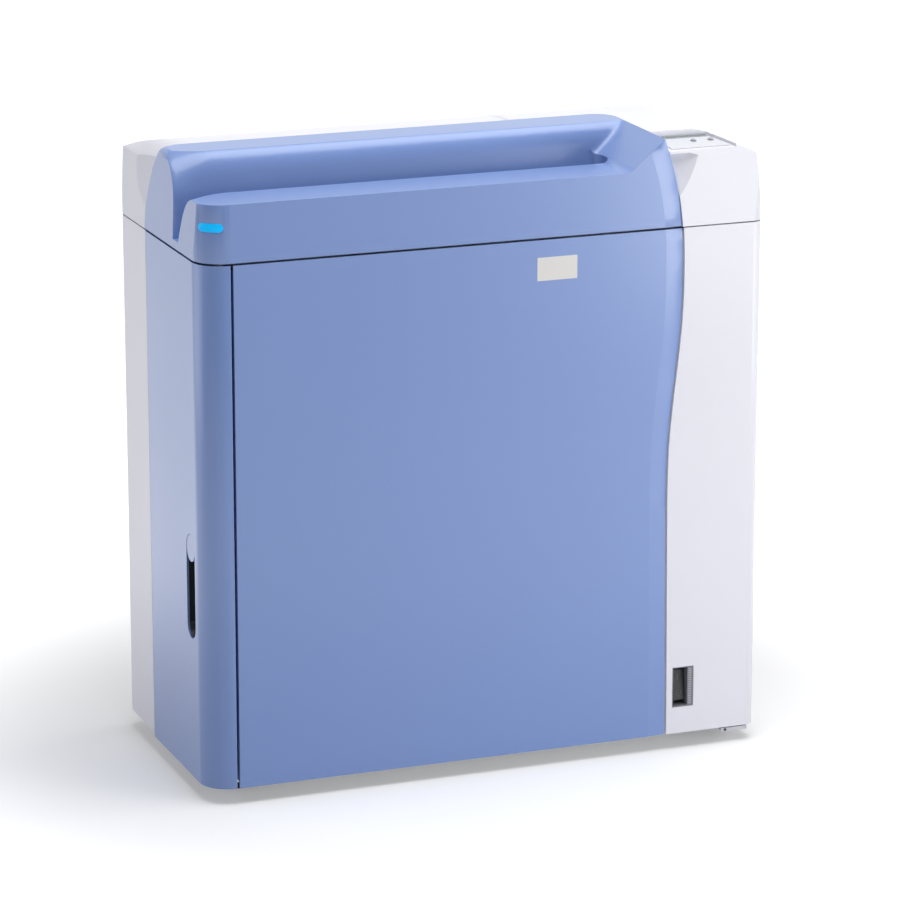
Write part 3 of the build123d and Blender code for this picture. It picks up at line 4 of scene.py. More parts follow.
import bmesh
import bpy
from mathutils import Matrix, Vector


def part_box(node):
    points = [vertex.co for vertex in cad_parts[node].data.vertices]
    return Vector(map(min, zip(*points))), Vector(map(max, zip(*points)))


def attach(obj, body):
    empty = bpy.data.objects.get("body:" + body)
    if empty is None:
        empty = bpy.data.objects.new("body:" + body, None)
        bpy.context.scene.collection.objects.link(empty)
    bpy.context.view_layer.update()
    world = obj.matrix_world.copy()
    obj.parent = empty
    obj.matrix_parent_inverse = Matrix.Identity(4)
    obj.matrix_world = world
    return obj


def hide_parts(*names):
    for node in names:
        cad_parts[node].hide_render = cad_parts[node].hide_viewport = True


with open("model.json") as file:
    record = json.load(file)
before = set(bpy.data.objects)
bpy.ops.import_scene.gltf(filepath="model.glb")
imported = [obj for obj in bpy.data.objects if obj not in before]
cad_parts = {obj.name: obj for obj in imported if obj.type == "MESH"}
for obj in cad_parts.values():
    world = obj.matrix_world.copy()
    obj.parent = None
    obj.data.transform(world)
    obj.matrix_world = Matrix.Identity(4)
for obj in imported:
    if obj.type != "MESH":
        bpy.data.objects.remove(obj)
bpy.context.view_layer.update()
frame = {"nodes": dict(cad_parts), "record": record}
nodes = frame["nodes"]

MM = 0.001

# Camera at the photograph's viewing angle
CAMERA_PLACE = (-1.797, -4.748, 1.747)
CAMERA_PITCH = 15.30
CAMERA_TURN = 20.88
LENS = 174.2


# Materials

def shader_of(material):
    return material.node_tree.nodes["Principled BSDF"]


def add_node(tree, kind, operation=None):
    node = tree.nodes.new(kind)
    if operation:
        node.operation = operation
    return node


def map_range(tree, source_range, result_range):
    """A node that maps one range of values onto another."""
    node = add_node(tree, "ShaderNodeMapRange")
    names = ("From Min", "From Max", "To Min", "To Max")
    for name, value in zip(names, (*source_range, *result_range)):
        node.inputs[name].default_value = value
    return node


def new_material(name, colour, roughness, metallic=0.0):
    material = bpy.data.materials.new(name)
    material.use_nodes = True
    shader = shader_of(material)
    shader.inputs["Base Color"].default_value = (*colour, 1)
    shader.inputs["Roughness"].default_value = roughness
    shader.inputs["Metallic"].default_value = metallic
    material.diffuse_color = (*colour, 1)
    return material


def noise(material, scale, detail=3.0, stretch=(1, 1, 1)):
    """Noise in the object's own coordinates, as a node."""
    tree = material.node_tree
    place = add_node(tree, "ShaderNodeTexCoord")
    mapping = add_node(tree, "ShaderNodeMapping")
    mapping.inputs["Scale"].default_value = stretch
    texture = add_node(tree, "ShaderNodeTexNoise")
    texture.inputs["Scale"].default_value = scale
    texture.inputs["Detail"].default_value = detail
    tree.links.new(place.outputs["Object"], mapping.inputs["Vector"])
    tree.links.new(mapping.outputs["Vector"], texture.inputs["Vector"])
    return texture


def vary_colour(material, source, low, high, start=0.35, end=0.65):
    """Base colour that wanders between two tones."""
    tree = material.node_tree
    ramp = add_node(tree, "ShaderNodeValToRGB")
    ramp.color_ramp.elements[0].position = start
    ramp.color_ramp.elements[1].position = end
    ramp.color_ramp.elements[0].color = (*low, 1)
    ramp.color_ramp.elements[1].color = (*high, 1)
    tree.links.new(source.outputs["Fac"], ramp.inputs["Fac"])
    tree.links.new(ramp.outputs["Color"], shader_of(material).inputs["Base Color"])


def vary_roughness(material, source, low, high):
    tree = material.node_tree
    spread = map_range(tree, (0.3, 0.7), (low, high))
    tree.links.new(source.outputs["Fac"], spread.inputs["Value"])
    tree.links.new(spread.outputs["Result"], shader_of(material).inputs["Roughness"])


def add_bump(material, height, strength, distance):
    tree = material.node_tree
    bump = add_node(tree, "ShaderNodeBump")
    bump.inputs["Strength"].default_value = strength
    bump.inputs["Distance"].default_value = distance
    tree.links.new(height, bump.inputs["Height"])
    tree.links.new(bump.outputs["Normal"], shader_of(material).inputs["Normal"])


def plastic(name, low, high, roughness, grain=0.12, coat=0.0):
    """Moulded plastic with a fine spark-eroded grain and slightly uneven colour."""
    material = new_material(name, high, roughness)
    vary_colour(material, noise(material, 2.5, 0.0), low, high)
    vary_roughness(material, noise(material, 6.0, 0.0), roughness - 0.02, roughness + 0.02)
    add_bump(material, noise(material, 900.0, 1.0).outputs["Fac"], grain, 0.0002)
    shader = shader_of(material)
    shader.inputs["Coat Weight"].default_value = coat
    shader.inputs["Coat Roughness"].default_value = 0.18
    return material


def metal(name, low, high, roughness, stretch=(1, 1, 1), scale=60.0):
    """Metal whose fine lines run along the axis that is stretched least."""
    material = new_material(name, high, roughness, 1.0)
    streaks = noise(material, scale, 4.0, stretch)
    vary_colour(material, streaks, low, high)
    vary_roughness(material, streaks, roughness - 0.06, roughness + 0.08)
    add_bump(material, streaks.outputs["Fac"], 0.05, 0.0002)
    return material


def glass(name, tint, roughness, weight=0.85):
    material = new_material(name, tint, roughness)
    shader = shader_of(material)
    shader.inputs["Transmission Weight"].default_value = weight
    shader.inputs["IOR"].default_value = 1.49
    vary_roughness(material, noise(material, 30.0), roughness, roughness + 0.04)
    add_bump(material, noise(material, 12.0).outputs["Fac"], 0.02, 0.001)
    return material


def glow(material, colour, strength):
    shader = shader_of(material)
    shader.inputs["Emission Color"].default_value = (*colour, 1)
    shader.inputs["Emission Strength"].default_value = strength


blue = plastic("blue_cover", (0.165, 0.258, 0.535), (0.170, 0.265, 0.546), 0.32, grain=0.05, coat=0.35)
white = plastic("white_cover", (0.700, 0.700, 0.762), (0.715, 0.715, 0.776), 0.38, grain=0.05, coat=0.25)
shader_of(white).inputs["Specular IOR Level"].default_value = 0.3
rear_sheet = plastic("rear_sheet", (0.50, 0.51, 0.56), (0.55, 0.56, 0.61), 0.46, grain=0.25)
zinc = metal("zinc_sheet", (0.55, 0.56, 0.57), (0.61, 0.62, 0.63), 0.42, (1, 1, 12), 90.0)
steel = metal("ground_steel", (0.60, 0.61, 0.62), (0.72, 0.73, 0.74), 0.24, (1, 1, 14))
steel_x = metal("ground_steel_across", (0.60, 0.61, 0.62), (0.72, 0.73, 0.74), 0.24, (14, 1, 1))
aluminium = metal("aluminium", (0.62, 0.63, 0.65), (0.76, 0.77, 0.79), 0.36, (1, 9, 9))
black = plastic("black_plastic", (0.012, 0.012, 0.015), (0.022, 0.022, 0.026), 0.42, grain=0.2)
grey = plastic("grey_plastic", (0.14, 0.145, 0.17), (0.18, 0.185, 0.21), 0.45)
gear_resin = plastic("gear_resin", (0.66, 0.63, 0.54), (0.76, 0.73, 0.65), 0.48)
rubber = plastic("rubber", (0.010, 0.010, 0.011), (0.022, 0.022, 0.023), 0.72, grain=0.5)
sleeve_rubber = plastic("sleeve_rubber", (0.05, 0.05, 0.055), (0.08, 0.08, 0.085), 0.66, grain=0.4)
panel_film = plastic("panel_film", (0.58, 0.59, 0.63), (0.61, 0.62, 0.66), 0.40, grain=0.05)
cyan = plastic("cyan_lens", (0.0, 0.30, 0.66), (0.0, 0.34, 0.72), 0.34, grain=0.02)
shader_of(cyan).inputs["Specular IOR Level"].default_value = 0.25
glow(cyan, (0.0, 0.44, 0.86), 0.46)
mirror = metal("mirror_facets", (0.86, 0.86, 0.88), (0.92, 0.92, 0.94), 0.08, scale=8.0)
optic_glass = glass("optic_glass", (0.80, 0.90, 0.92), 0.04)
lamp_glass = glass("lamp_glass", (1.0, 0.90, 0.66), 0.30, 0.5)
magnet = plastic("magnet_mat", (0.030, 0.030, 0.033), (0.052, 0.050, 0.050), 0.62, grain=0.4)
board = plastic("board_green", (0.012, 0.085, 0.035), (0.022, 0.135, 0.060), 0.34, coat=0.5)
cast = plastic("cast_housing", (0.035, 0.037, 0.042), (0.060, 0.062, 0.068), 0.55, grain=0.9)
dark_glass = plastic("dark_glass", (0.120, 0.160, 0.150), (0.150, 0.190, 0.180), 0.16, grain=0.01, coat=0.6)
print_white = plastic("print_white", (0.62, 0.63, 0.65), (0.68, 0.69, 0.71), 0.5)
print_grey = plastic("print_grey", (0.060, 0.060, 0.066), (0.080, 0.080, 0.086), 0.5)
rim_grey = plastic("rim_grey", (0.34, 0.35, 0.38), (0.38, 0.39, 0.42), 0.42)
foam = plastic("foam_strip", (0.018, 0.018, 0.020), (0.032, 0.032, 0.035), 0.9, grain=0.9)
badge_face = plastic("badge_face", (0.66, 0.65, 0.63), (0.70, 0.69, 0.67), 0.46, grain=0.05)
brass = metal("contact_brass", (0.70, 0.52, 0.22), (0.80, 0.62, 0.30), 0.24)
lamp_green = plastic("lamp_green", (0.05, 0.30, 0.10), (0.07, 0.36, 0.13), 0.25)


def threaded(name, centre, pitch=2.0, starts=10):
    """Ground steel with a helical thread of several starts round an upright axis."""
    material = metal(name, (0.55, 0.56, 0.57), (0.70, 0.71, 0.72), 0.26)
    tree = material.node_tree
    place = add_node(tree, "ShaderNodeTexCoord")
    split = add_node(tree, "ShaderNodeSeparateXYZ")
    tree.links.new(place.outputs["Object"], split.inputs[0])

    def step(operation, first, second=None):
        node = add_node(tree, "ShaderNodeMath", operation)
        for socket, value in zip(node.inputs, (first, second)):
            if isinstance(value, (int, float)):
                socket.default_value = value
            elif value is not None:
                tree.links.new(value, socket)
        return node.outputs[0]

    across = step("SUBTRACT", split.outputs["X"], centre[0] * MM)
    along = step("SUBTRACT", split.outputs["Y"], centre[1] * MM)
    angle = step("MULTIPLY", step("ARCTAN2", along, across), starts)
    climb = step("MULTIPLY", split.outputs["Z"], 2 * pi / (pitch * MM))
    add_bump(material, step("SINE", step("ADD", angle, climb)), 0.8, 0.0006)
    return material


tray_thread = threaded("tray_thread", (172.0, -52.0))
scan_thread = threaded("scan_thread", (172.0, -102.0))

SLOT_MATERIAL = {
    "blue_cover": blue, "white_cover": white, "rear_sheet": rear_sheet, "frame_sheet": zinc,
    "bright_steel": steel, "aluminium": aluminium, "black_plastic": black, "grey_plastic": grey,
    "gear_plastic": gear_resin, "rubber": rubber, "cyan_lens": cyan, "panel_print": panel_film,
    "mirror": mirror, "optic_glass": optic_glass, "lamp_glass": lamp_glass, "magnet": magnet,
    "board": board, "cast_housing": cast,
}
NODE_MATERIAL = {
    "feed_sleeves_front": sleeve_rubber,
    "feed_sleeves_rear": sleeve_rubber,
    "feed_shaft_front": steel_x,
    "feed_shaft_rear": steel_x,
    "tray_screw": tray_thread,
    "scan_screw": scan_thread,
    "start_button": rim_grey,
    "stop_button": rim_grey,
}
for part in frame["record"]["subparts"]:
    chosen = NODE_MATERIAL.get(part["node"], SLOT_MATERIAL[part["material_slot"]])
    for holder in nodes[part["node"]].material_slots:
        holder.material = chosen

# Soft edges on the moulded covers and folded sheets
EDGE_SOFTNESS = {
    "left_corner_cover": 0.8, "left_rear_cover": 0.8, "right_cover": 0.8, "door_panel": 0.8,
    "lid_saddle": 1.6, "top_cover_left": 1.2, "top_cover_right": 1.2, "release_tab": 1.2,
    "power_rocker": 0.8, "switch_housing": 0.5, "door_frame": 0.5, "cassette_tray": 0.5,
    "scan_carriage": 0.6, "optical_box": 1.5, "power_supply": 1.0, "fan_frame": 0.6,
    "hinge_brackets": 0.5, "rubber_feet": 1.5, "screw_motors": 1.5, "feed_motor": 1.5,
    "skirt_bracket": 0.4, "finger_pocket": 0.5, "mains_inlet": 0.4, "network_socket": 0.3,
    "status_lens": 0.5,
}


def soften_edges(piece, width, angle):
    """A small bevel on the edges that are sharper than an angle in degrees."""
    bevel = piece.modifiers.new("soft_edges", "BEVEL")
    bevel.width = width * MM
    bevel.segments = 2
    bevel.limit_method = "ANGLE"
    bevel.angle_limit = radians(angle)
    bevel.harden_normals = True


for node_name, width in EDGE_SOFTNESS.items():
    weld = nodes[node_name].modifiers.new("weld", "WELD")
    weld.merge_threshold = 0.02 * MM
    soften_edges(nodes[node_name], width, 32)


# Geometry helpers: places in millimetres, pieces in metres

SHARP_ANGLE = 35


def mesh_piece(name, material, body, fill, bevel=0.0, smooth=True):
    """A named piece whose geometry fill(bm) draws in millimetres; it rides on a body."""
    bm = bmesh.new()
    fill(bm)
    bmesh.ops.scale(bm, vec=(MM, MM, MM), verts=bm.verts)
    bmesh.ops.recalc_face_normals(bm, faces=bm.faces)
    mesh = bpy.data.meshes.new(name)
    bm.to_mesh(mesh)
    bm.free()
    mesh.materials.append(material)
    for face in mesh.polygons:
        face.use_smooth = smooth
    piece = bpy.data.objects.new(name, mesh)
    bpy.context.scene.collection.objects.link(piece)
    if bevel:
        soften_edges(piece, bevel, SHARP_ANGLE)
    elif smooth:
        mesh.set_sharp_from_angle(angle=radians(SHARP_ANGLE))
    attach(piece, body)
    return piece


BOX_FACES = ((0, 1, 3, 2), (4, 6, 7, 5), (0, 4, 5, 1), (2, 3, 7, 6), (0, 2, 6, 4), (1, 5, 7, 3))


def placed_box(bm, place, first, second, third):
    """A box over three ranges, whose corners go through place(a, b, c)."""
    corners = [bm.verts.new(place(a, b, c)) for a in first for b in second for c in third]
    for face in BOX_FACES:
        bm.faces.new([corners[index] for index in face])


def block(bm, low, high):
    """A box between two corners."""
    placed_box(bm, lambda x, y, z: (x, y, z), *zip(low, high))


def skin(bm, rows, capped=True):
    """Faces between rows of corners, with a face at each end."""
    for low, high in zip(rows, rows[1:]):
        for index in range(len(low)):
            after = (index + 1) % len(low)
            bm.faces.new((low[index], low[after], high[after], high[index]))
    if capped:
        bm.faces.new(rows[0][::-1])
        bm.faces.new(rows[-1])


AXIS_FRAMES = {
    "X": (Vector((0, 1, 0)), Vector((0, 0, 1)), Vector((1, 0, 0))),
    "Y": (Vector((0, 0, 1)), Vector((1, 0, 0)), Vector((0, 1, 0))),
    "-Y": (Vector((1, 0, 0)), Vector((0, 0, 1)), Vector((0, -1, 0))),
    "Z": (Vector((1, 0, 0)), Vector((0, 1, 0)), Vector((0, 0, 1))),
}


def turned(bm, centre, axis, profile, sides=24):
    """A body turned about an axis. Profile rows are radius, height and whether the row is hexagonal."""
    across, along, up = AXIS_FRAMES[axis]
    centre = Vector(centre)
    rows = []
    for radius, height, hexagon in profile:
        row = []
        for index in range(sides):
            angle = 2 * pi * index / sides
            reach = radius
            if hexagon:
                reach = radius / cos((angle + pi / 6) % (pi / 3) - pi / 6)
            offset = across * cos(angle) * reach + along * sin(angle) * reach
            row.append(bm.verts.new(centre + offset + up * height))
        rows.append(row)
    skin(bm, rows)


def socket_screw(bm, centre, axis, radius=3.6):
    """Button-head screw with a hexagonal socket, standing on its centre point."""
    r = radius
    turned(bm, centre, axis, [
        (r * 0.96, -0.1 * r, False), (r, 0.10 * r, False), (r * 0.93, 0.34 * r, False),
        (r * 0.74, 0.52 * r, False), (r * 0.52, 0.58 * r, False), (r * 0.44, 0.56 * r, True),
        (r * 0.42, 0.16 * r, True),
    ])


def tube(bm, points, radius, sides=10, closed=False):
    """A round bar along a list of points that lie in one plane or run straight."""
    rows = []
    count = len(points)
    for index, point in enumerate(points):
        before = Vector(points[index - 1] if index or closed else point)
        after = Vector(points[(index + 1) % count] if index < count - 1 or closed else point)
        run = (after - before).normalized()
        side = run.orthogonal().normalized() if index == 0 else (side - run * side.dot(run)).normalized()
        other = run.cross(side)
        turns = [2 * pi * k / sides for k in range(sides)]
        rows.append([bm.verts.new(Vector(point) + radius * (side * cos(turn) + other * sin(turn)))
                     for turn in turns])
    if closed:
        rows.append(rows[0])
    skin(bm, rows, capped=not closed)


def circle(radius, count, place):
    """Points round a circle, whose two coordinates go through place(u, v)."""
    turns = [2 * pi * index / count for index in range(count)]
    return [place(radius * cos(turn), radius * sin(turn)) for turn in turns]


def rounded_plate(bm, low, high, radius, raise_to, rim, steps=6):
    """A plate with round corners and a sloped rim, standing out along -Y from its base plane."""
    left, right = low[0] + radius, high[0] - radius
    bottom, top_edge = low[1] + radius, high[1] - radius

    def ring(grow, level):
        points = []
        middles = ((right, top_edge), (left, top_edge), (left, bottom), (right, bottom))
        for quarter, (cx, cz) in enumerate(middles):
            for step in range(steps + 1):
                angle = radians(90 * quarter + 90 * step / steps)
                reach = max(radius + grow, 0.05)
                points.append(bm.verts.new((cx + reach * cos(angle), level, cz + reach * sin(angle))))
        return points

    base, top = raise_to
    skin(bm, [ring(0, base), ring(0, base + (top - base) * 0.4), ring(-rim, top)])


def corners_of(node):
    """A CAD node's lowest and highest corners in millimetres."""
    low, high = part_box(node)
    return low / MM, high / MM


door_low, door_high = corners_of("door_panel")
FRONT = door_low.y
pan_low, pan_high = corners_of("door_frame")

# Bare plate on the door
BADGE_LOW = (60.0, 598.0)
BADGE_HIGH = (110.5, 626.0)
BADGE_RISE = 0.25


def draw_badge(bm):
    rounded_plate(bm, BADGE_LOW, BADGE_HIGH, 0.8, (FRONT + 0.3, FRONT - BADGE_RISE), 0.15)


mesh_piece("badge_plate", badge_face, "door", draw_badge)

# Operation panel: a display strip at the rear of the tilted floor and rims round the buttons
PANEL_SLOPE = radians(8)
PANEL_ORIGIN = Vector((0, FRONT + 2.0, 739.5))
PANEL_UP = Vector((0, -sin(PANEL_SLOPE), cos(PANEL_SLOPE)))
PANEL_BACK = Vector((0, cos(PANEL_SLOPE), sin(PANEL_SLOPE)))
BUTTONS = (("start_button", 269.0), ("stop_button", 291.0))
BUTTON_REACH = 27.0
BUTTON_RIM_RADIUS = 3.7
DISPLAY_LEFT, DISPLAY_RIGHT = 229.0, 291.0
DISPLAY_REACH = (41.0, 44.5)
DISPLAY_BASE = 1.1
RIM_WIDTH = 1.5
REAR_RIM_WIDTH = 0.9


def on_panel(x, reach, height):
    """A point on the tilted operation panel."""
    return PANEL_ORIGIN + Vector((x, 0, 0)) + PANEL_BACK * reach + PANEL_UP * height


def draw_display(bm):
    placed_box(bm, on_panel, (DISPLAY_LEFT, DISPLAY_RIGHT), DISPLAY_REACH, (DISPLAY_BASE, DISPLAY_BASE + 1.5))


def draw_display_rim(bm):
    left, right = DISPLAY_LEFT - RIM_WIDTH, DISPLAY_RIGHT + RIM_WIDTH
    front, back = DISPLAY_REACH[0] - RIM_WIDTH, DISPLAY_REACH[1] + REAR_RIM_WIDTH
    for x_range, reach_range, height in (
        ((left, right), (front, DISPLAY_REACH[0]), 0.9),
        ((left, right), (DISPLAY_REACH[1], back), 1.8),
        ((left, DISPLAY_LEFT), DISPLAY_REACH, 1.3),
        ((DISPLAY_RIGHT, right), DISPLAY_REACH, 1.3),
    ):
        placed_box(bm, on_panel, x_range, reach_range, (DISPLAY_BASE, DISPLAY_BASE + height))


def draw_button_rims(bm):
    for _, x in BUTTONS:
        points = circle(BUTTON_RIM_RADIUS, 32, lambda u, v: on_panel(x + u, BUTTON_REACH + v, 1.25))
        tube(bm, points, 0.45, 8, closed=True)


mesh_piece("display_window", dark_glass, "housing", draw_display, 0.3)
mesh_piece("display_rim", rim_grey, "housing", draw_display_rim, 0.2)
mesh_piece("button_rims", rim_grey, "housing", draw_button_rims)
for button_name, x in BUTTONS:
    def draw_dimple(bm, x=x):
        rows = []
        for radius, height in ((1.0, 3.45), (0.8, 3.58), (0.4, 3.52)):
            points = circle(radius, 20, lambda u, v: on_panel(x + u, BUTTON_REACH + v, height))
            rows.append([bm.verts.new(point) for point in points])
        skin(bm, rows)
    mesh_piece(button_name + "_dimple", grey, button_name, draw_dimple)

# Mains switch: ribbed strip beside the rocker, and the rocker's marks
switch_low, switch_high = corners_of("switch_housing")
STRIP_WIDTH = 8.0
STRIP_RIB = 1.1
STRIP_PITCH = 2.3


def draw_switch_ribs(bm):
    left, right = switch_high.x - STRIP_WIDTH + 1.0, switch_high.x - 2.6
    z = switch_low.z + 3.0
    while z < switch_high.z - 4.0:
        block(bm, (left, FRONT + 0.15, z), (right, FRONT + 1.0, z + STRIP_RIB))
        z += STRIP_PITCH


rocker_low, rocker_high = corners_of("power_rocker")
ROCKER_TURN = radians(-7)
ROCKER_REACH = 3.0
ROCKER_CENTRE = (rocker_low + rocker_high) / 2


def on_rocker(x, out, up):
    """A point on the rocker's tilted front face."""
    deep = -ROCKER_REACH - out
    return ROCKER_CENTRE + Vector((
        x, deep * cos(ROCKER_TURN) - up * sin(ROCKER_TURN), deep * sin(ROCKER_TURN) + up * cos(ROCKER_TURN)))


def draw_rocker_marks(bm):
    placed_box(bm, on_rocker, (-0.8, 0.8), (-0.1, 0.12), (6.0, 14.0))
    points = circle(1.0, 32, lambda u, v: on_rocker(3.2 * u, 0.0, -10 + 3.8 * v))
    tube(bm, points, 0.5, 6, closed=True)


mesh_piece("switch_ribs", rim_grey, "housing", draw_switch_ribs, 0.2)
mesh_piece("rocker_marks", print_grey, "rocker", draw_rocker_marks)

# Back of the reader: screws, fan guard, socket contacts
rear_high = corners_of("rear_panel")[1]
screws_low, screws_high = corners_of("cover_screws")
REAR_SCREW = 4.0


def draw_rear_screws(bm):
    middle = (screws_low + screws_high) / 2
    for x in (screws_low.x + REAR_SCREW, middle.x, screws_high.x - REAR_SCREW):
        for z in (screws_low.z + REAR_SCREW, middle.z, screws_high.z - REAR_SCREW):
            turned(bm, (x, rear_high.y, z), "Y", [
                (REAR_SCREW, -0.2, False), (REAR_SCREW, 0.35, False), (3.6, 0.8, False),
                (2.4, 0.95, False), (1.7, 0.9, True), (1.6, 0.1, True)])


rear_screws = mesh_piece("rear_screws", steel, "housing", draw_rear_screws)
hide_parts("cover_screws")

fan_low, fan_high = corners_of("fan_frame")
FAN = (fan_low + fan_high) / 2
FAN_SCREW_REACH = 39
FAN_SPOKE_REACH = 43.0
FAN_RINGS = (14, 21, 28, 35, 42)


def draw_fan_guard(bm):
    y = fan_high.y - 1.6
    for radius in FAN_RINGS:
        tube(bm, circle(radius, 48, lambda u, v: (FAN.x + u, y, FAN.z + v)), 0.7, 8, closed=True)
    for turn in (45, 135):
        reach = Vector((cos(radians(turn)), 0, sin(radians(turn)))) * FAN_SPOKE_REACH
        start = Vector((FAN.x, y - 1.2, FAN.z)) - reach
        tube(bm, [start, start + 2 * reach], 0.7, 8)


def draw_fan_screws(bm):
    for x in (FAN.x - FAN_SCREW_REACH, FAN.x + FAN_SCREW_REACH):
        for z in (FAN.z - FAN_SCREW_REACH, FAN.z + FAN_SCREW_REACH):
            socket_screw(bm, (x, rear_high.y, z), "Y", 1.7)


mesh_piece("fan_guard", steel, "housing", draw_fan_guard)
mesh_piece("fan_screws", steel, "housing", draw_fan_screws)

inlet_low, inlet_high = corners_of("mains_inlet")
socket_low, socket_high = corners_of("network_socket")


INLET_GAP = 0.1
INLET_RIM = 2.5


def draw_inlet_rim(bm):
    left, right = inlet_low.x - INLET_GAP, inlet_high.x + INLET_GAP
    bottom, top = inlet_low.z - INLET_GAP, inlet_high.z + INLET_GAP
    outer_left, outer_right = inlet_low.x - INLET_RIM, inlet_high.x + INLET_RIM
    for x_range, z_range in (
        ((outer_left, outer_right), (top, inlet_high.z + INLET_RIM)),
        ((outer_left, outer_right), (inlet_low.z - INLET_RIM, bottom)),
        ((outer_left, left), (bottom, top)),
        ((right, outer_right), (bottom, top)),
    ):
        block(bm, (x_range[0], rear_high.y - 0.2, z_range[0]), (x_range[1], rear_high.y + 0.8, z_range[1]))


def draw_contacts(bm):
    middle = (socket_low + socket_high) / 2
    for index in range(8):
        x = middle.x - 4.2 + index * 1.2
        block(bm, (x - 0.25, socket_high.y - 11.5, middle.z + 3.6),
              (x + 0.25, socket_high.y - 2.5, middle.z + 4.6))


def draw_socket_lamps(bm):
    for x in (socket_low.x + 1.8, socket_high.x - 1.8):
        block(bm, (x - 1.1, socket_high.y - 0.4, socket_high.z - 1.7),
              (x + 1.1, socket_high.y + 0.2, socket_high.z - 0.5))


mesh_piece("inlet_rim", black, "housing", draw_inlet_rim, 0.3)
mesh_piece("socket_contacts", brass, "housing", draw_contacts)
mesh_piece("socket_lamps", lamp_green, "housing", draw_socket_lamps, 0.15)

# Door: foam seal, stiffening channels and screws
SEAL_FRONT = FRONT + 3.0
SEAL_DEPTH = 3.2
SEAL_WIDTH = 5.0
PAN_FLOOR = pan_low.y + 1.5
HINGE_HEIGHTS = (215, 515)
CHANNEL_PROFILE = ((-16, 0), (-9, 6), (9, 6), (16, 0), (14.4, 0), (8.2, 4.6), (-8.2, 4.6), (-14.4, 0))


def draw_door_seal(bm):
    left, right = door_low.x + 4.0, pan_high.x + 8.0
    low, high = door_low.z + 5.0, door_high.z - 4.0
    for x_range, z_range in (
        ((left, right), (high - SEAL_WIDTH, high)),
        ((left, right), (low, low + SEAL_WIDTH)),
        ((left, left + 4), (low + SEAL_WIDTH, high - SEAL_WIDTH)),
        ((right - SEAL_WIDTH, right), (low + SEAL_WIDTH, high - SEAL_WIDTH)),
    ):
        block(bm, (x_range[0], SEAL_FRONT, z_range[0]), (x_range[1], SEAL_FRONT + SEAL_DEPTH, z_range[1]))


def draw_door_channels(bm):
    for x in (-190.0, -60.0, 70.0):
        ends = []
        for z in (pan_low.z + 22, pan_high.z - 22):
            ends.append([bm.verts.new((x + u, PAN_FLOOR + v - 0.05, z)) for u, v in CHANNEL_PROFILE])
        skin(bm, ends)


def draw_door_screws(bm):
    for height in HINGE_HEIGHTS:
        for x in (182, 197):
            for z in (height + 7, height + 23):
                socket_screw(bm, (x, PAN_FLOOR + 4.0, z), "Y", 2.4)
    for x in (pan_low.x + 8, -125, 5, pan_high.x - 8):
        for z in (pan_low.z + 9, pan_high.z - 9):
            socket_screw(bm, (x, PAN_FLOOR, z), "Y", 2.4)


mesh_piece("door_seal", foam, "door", draw_door_seal, 0.8)
mesh_piece("door_channels", zinc, "door", draw_door_channels, smooth=False)
mesh_piece("door_screws", steel, "door", draw_door_screws)

# Front of the inner frame
clamp_low, clamp_high = corners_of("rod_clamps")
carriage_low, carriage_high = corners_of("scan_carriage")


def draw_clamp_screws(bm):
    for x in (clamp_low.x + 9, clamp_high.x - 9):
        for z in (clamp_low.z + 6, clamp_high.z - 6):
            socket_screw(bm, (x, clamp_low.y, z), "-Y", 2.6)
    for x in (clamp_low.x + 20, clamp_high.x - 20):
        for y in (-108, -88):
            socket_screw(bm, (x - (6 if x > 0 else -2), y, clamp_high.z), "Z", 2.4)


def draw_frame_screws(bm):
    bars_low, bars_high = corners_of("cross_bars")
    for x in (-300, -180, -60, 60, 170, 215, 300):
        socket_screw(bm, (x, bars_low.y, bars_high.z - 4), "-Y", 2.0)


PLATE_FACE = -116.0
PLATE_X = (-300.0, 150.0)
RIB_TOP = 300.0
RIB_RISE = 3.5
RIB_WIDTH = 2.2


def draw_carriage_ribs(bm):
    front, back = PLATE_FACE - RIB_RISE, PLATE_FACE + 0.3
    for z in (carriage_low.z + 40, carriage_low.z + 150, RIB_TOP - RIB_WIDTH):
        block(bm, (PLATE_X[0] + 24, front, z), (PLATE_X[1] - 24, back, z + RIB_WIDTH))
    for x in (-240, -75, 90):
        block(bm, (x, front, carriage_low.z + 20), (x + RIB_WIDTH, back, RIB_TOP))


def draw_carriage_screws(bm):
    for x in (PLATE_X[0] + 12, -150, 0, PLATE_X[1] - 12):
        for z in (carriage_low.z + 10, carriage_high.z - 10):
            socket_screw(bm, (x, PLATE_FACE, z), "-Y", 1.6)


mesh_piece("clamp_screws", steel, "housing", draw_clamp_screws)
mesh_piece("frame_screws", steel, "housing", draw_frame_screws)
mesh_piece("carriage_ribs", aluminium, "carriage", draw_carriage_ribs, 0.4)
mesh_piece("carriage_screws", steel, "carriage", draw_carriage_screws)

# Cassette tray: rubber pads on the ledge
LEDGE_TOP = 560.0
PAD_WIDTH = 9.0
PAD_PITCH = 12.0


def draw_tray_pad(bm):
    x = PLATE_X[0] + 4
    while x < PLATE_X[1] - PAD_PITCH:
        block(bm, (x, -78.0, LEDGE_TOP - 0.2), (x + PAD_WIDTH, -62.0, LEDGE_TOP + 0.8))
        x += PAD_PITCH


mesh_piece("tray_pad", rubber, "tray", draw_tray_pad, 0.3)

# Motors: flanges, round ends and terminal blocks
motors_low, motors_high = corners_of("screw_motors")
feed_high = corners_of("feed_motor")[1]
MOTOR_X = 172.0
MOTOR_HALF = 18.0
MOTOR_ROWS = ((-52.0, 18.0), (-102.0, 15.0))
FEED_MOTOR_AXIS = (-89.5, 583.5)


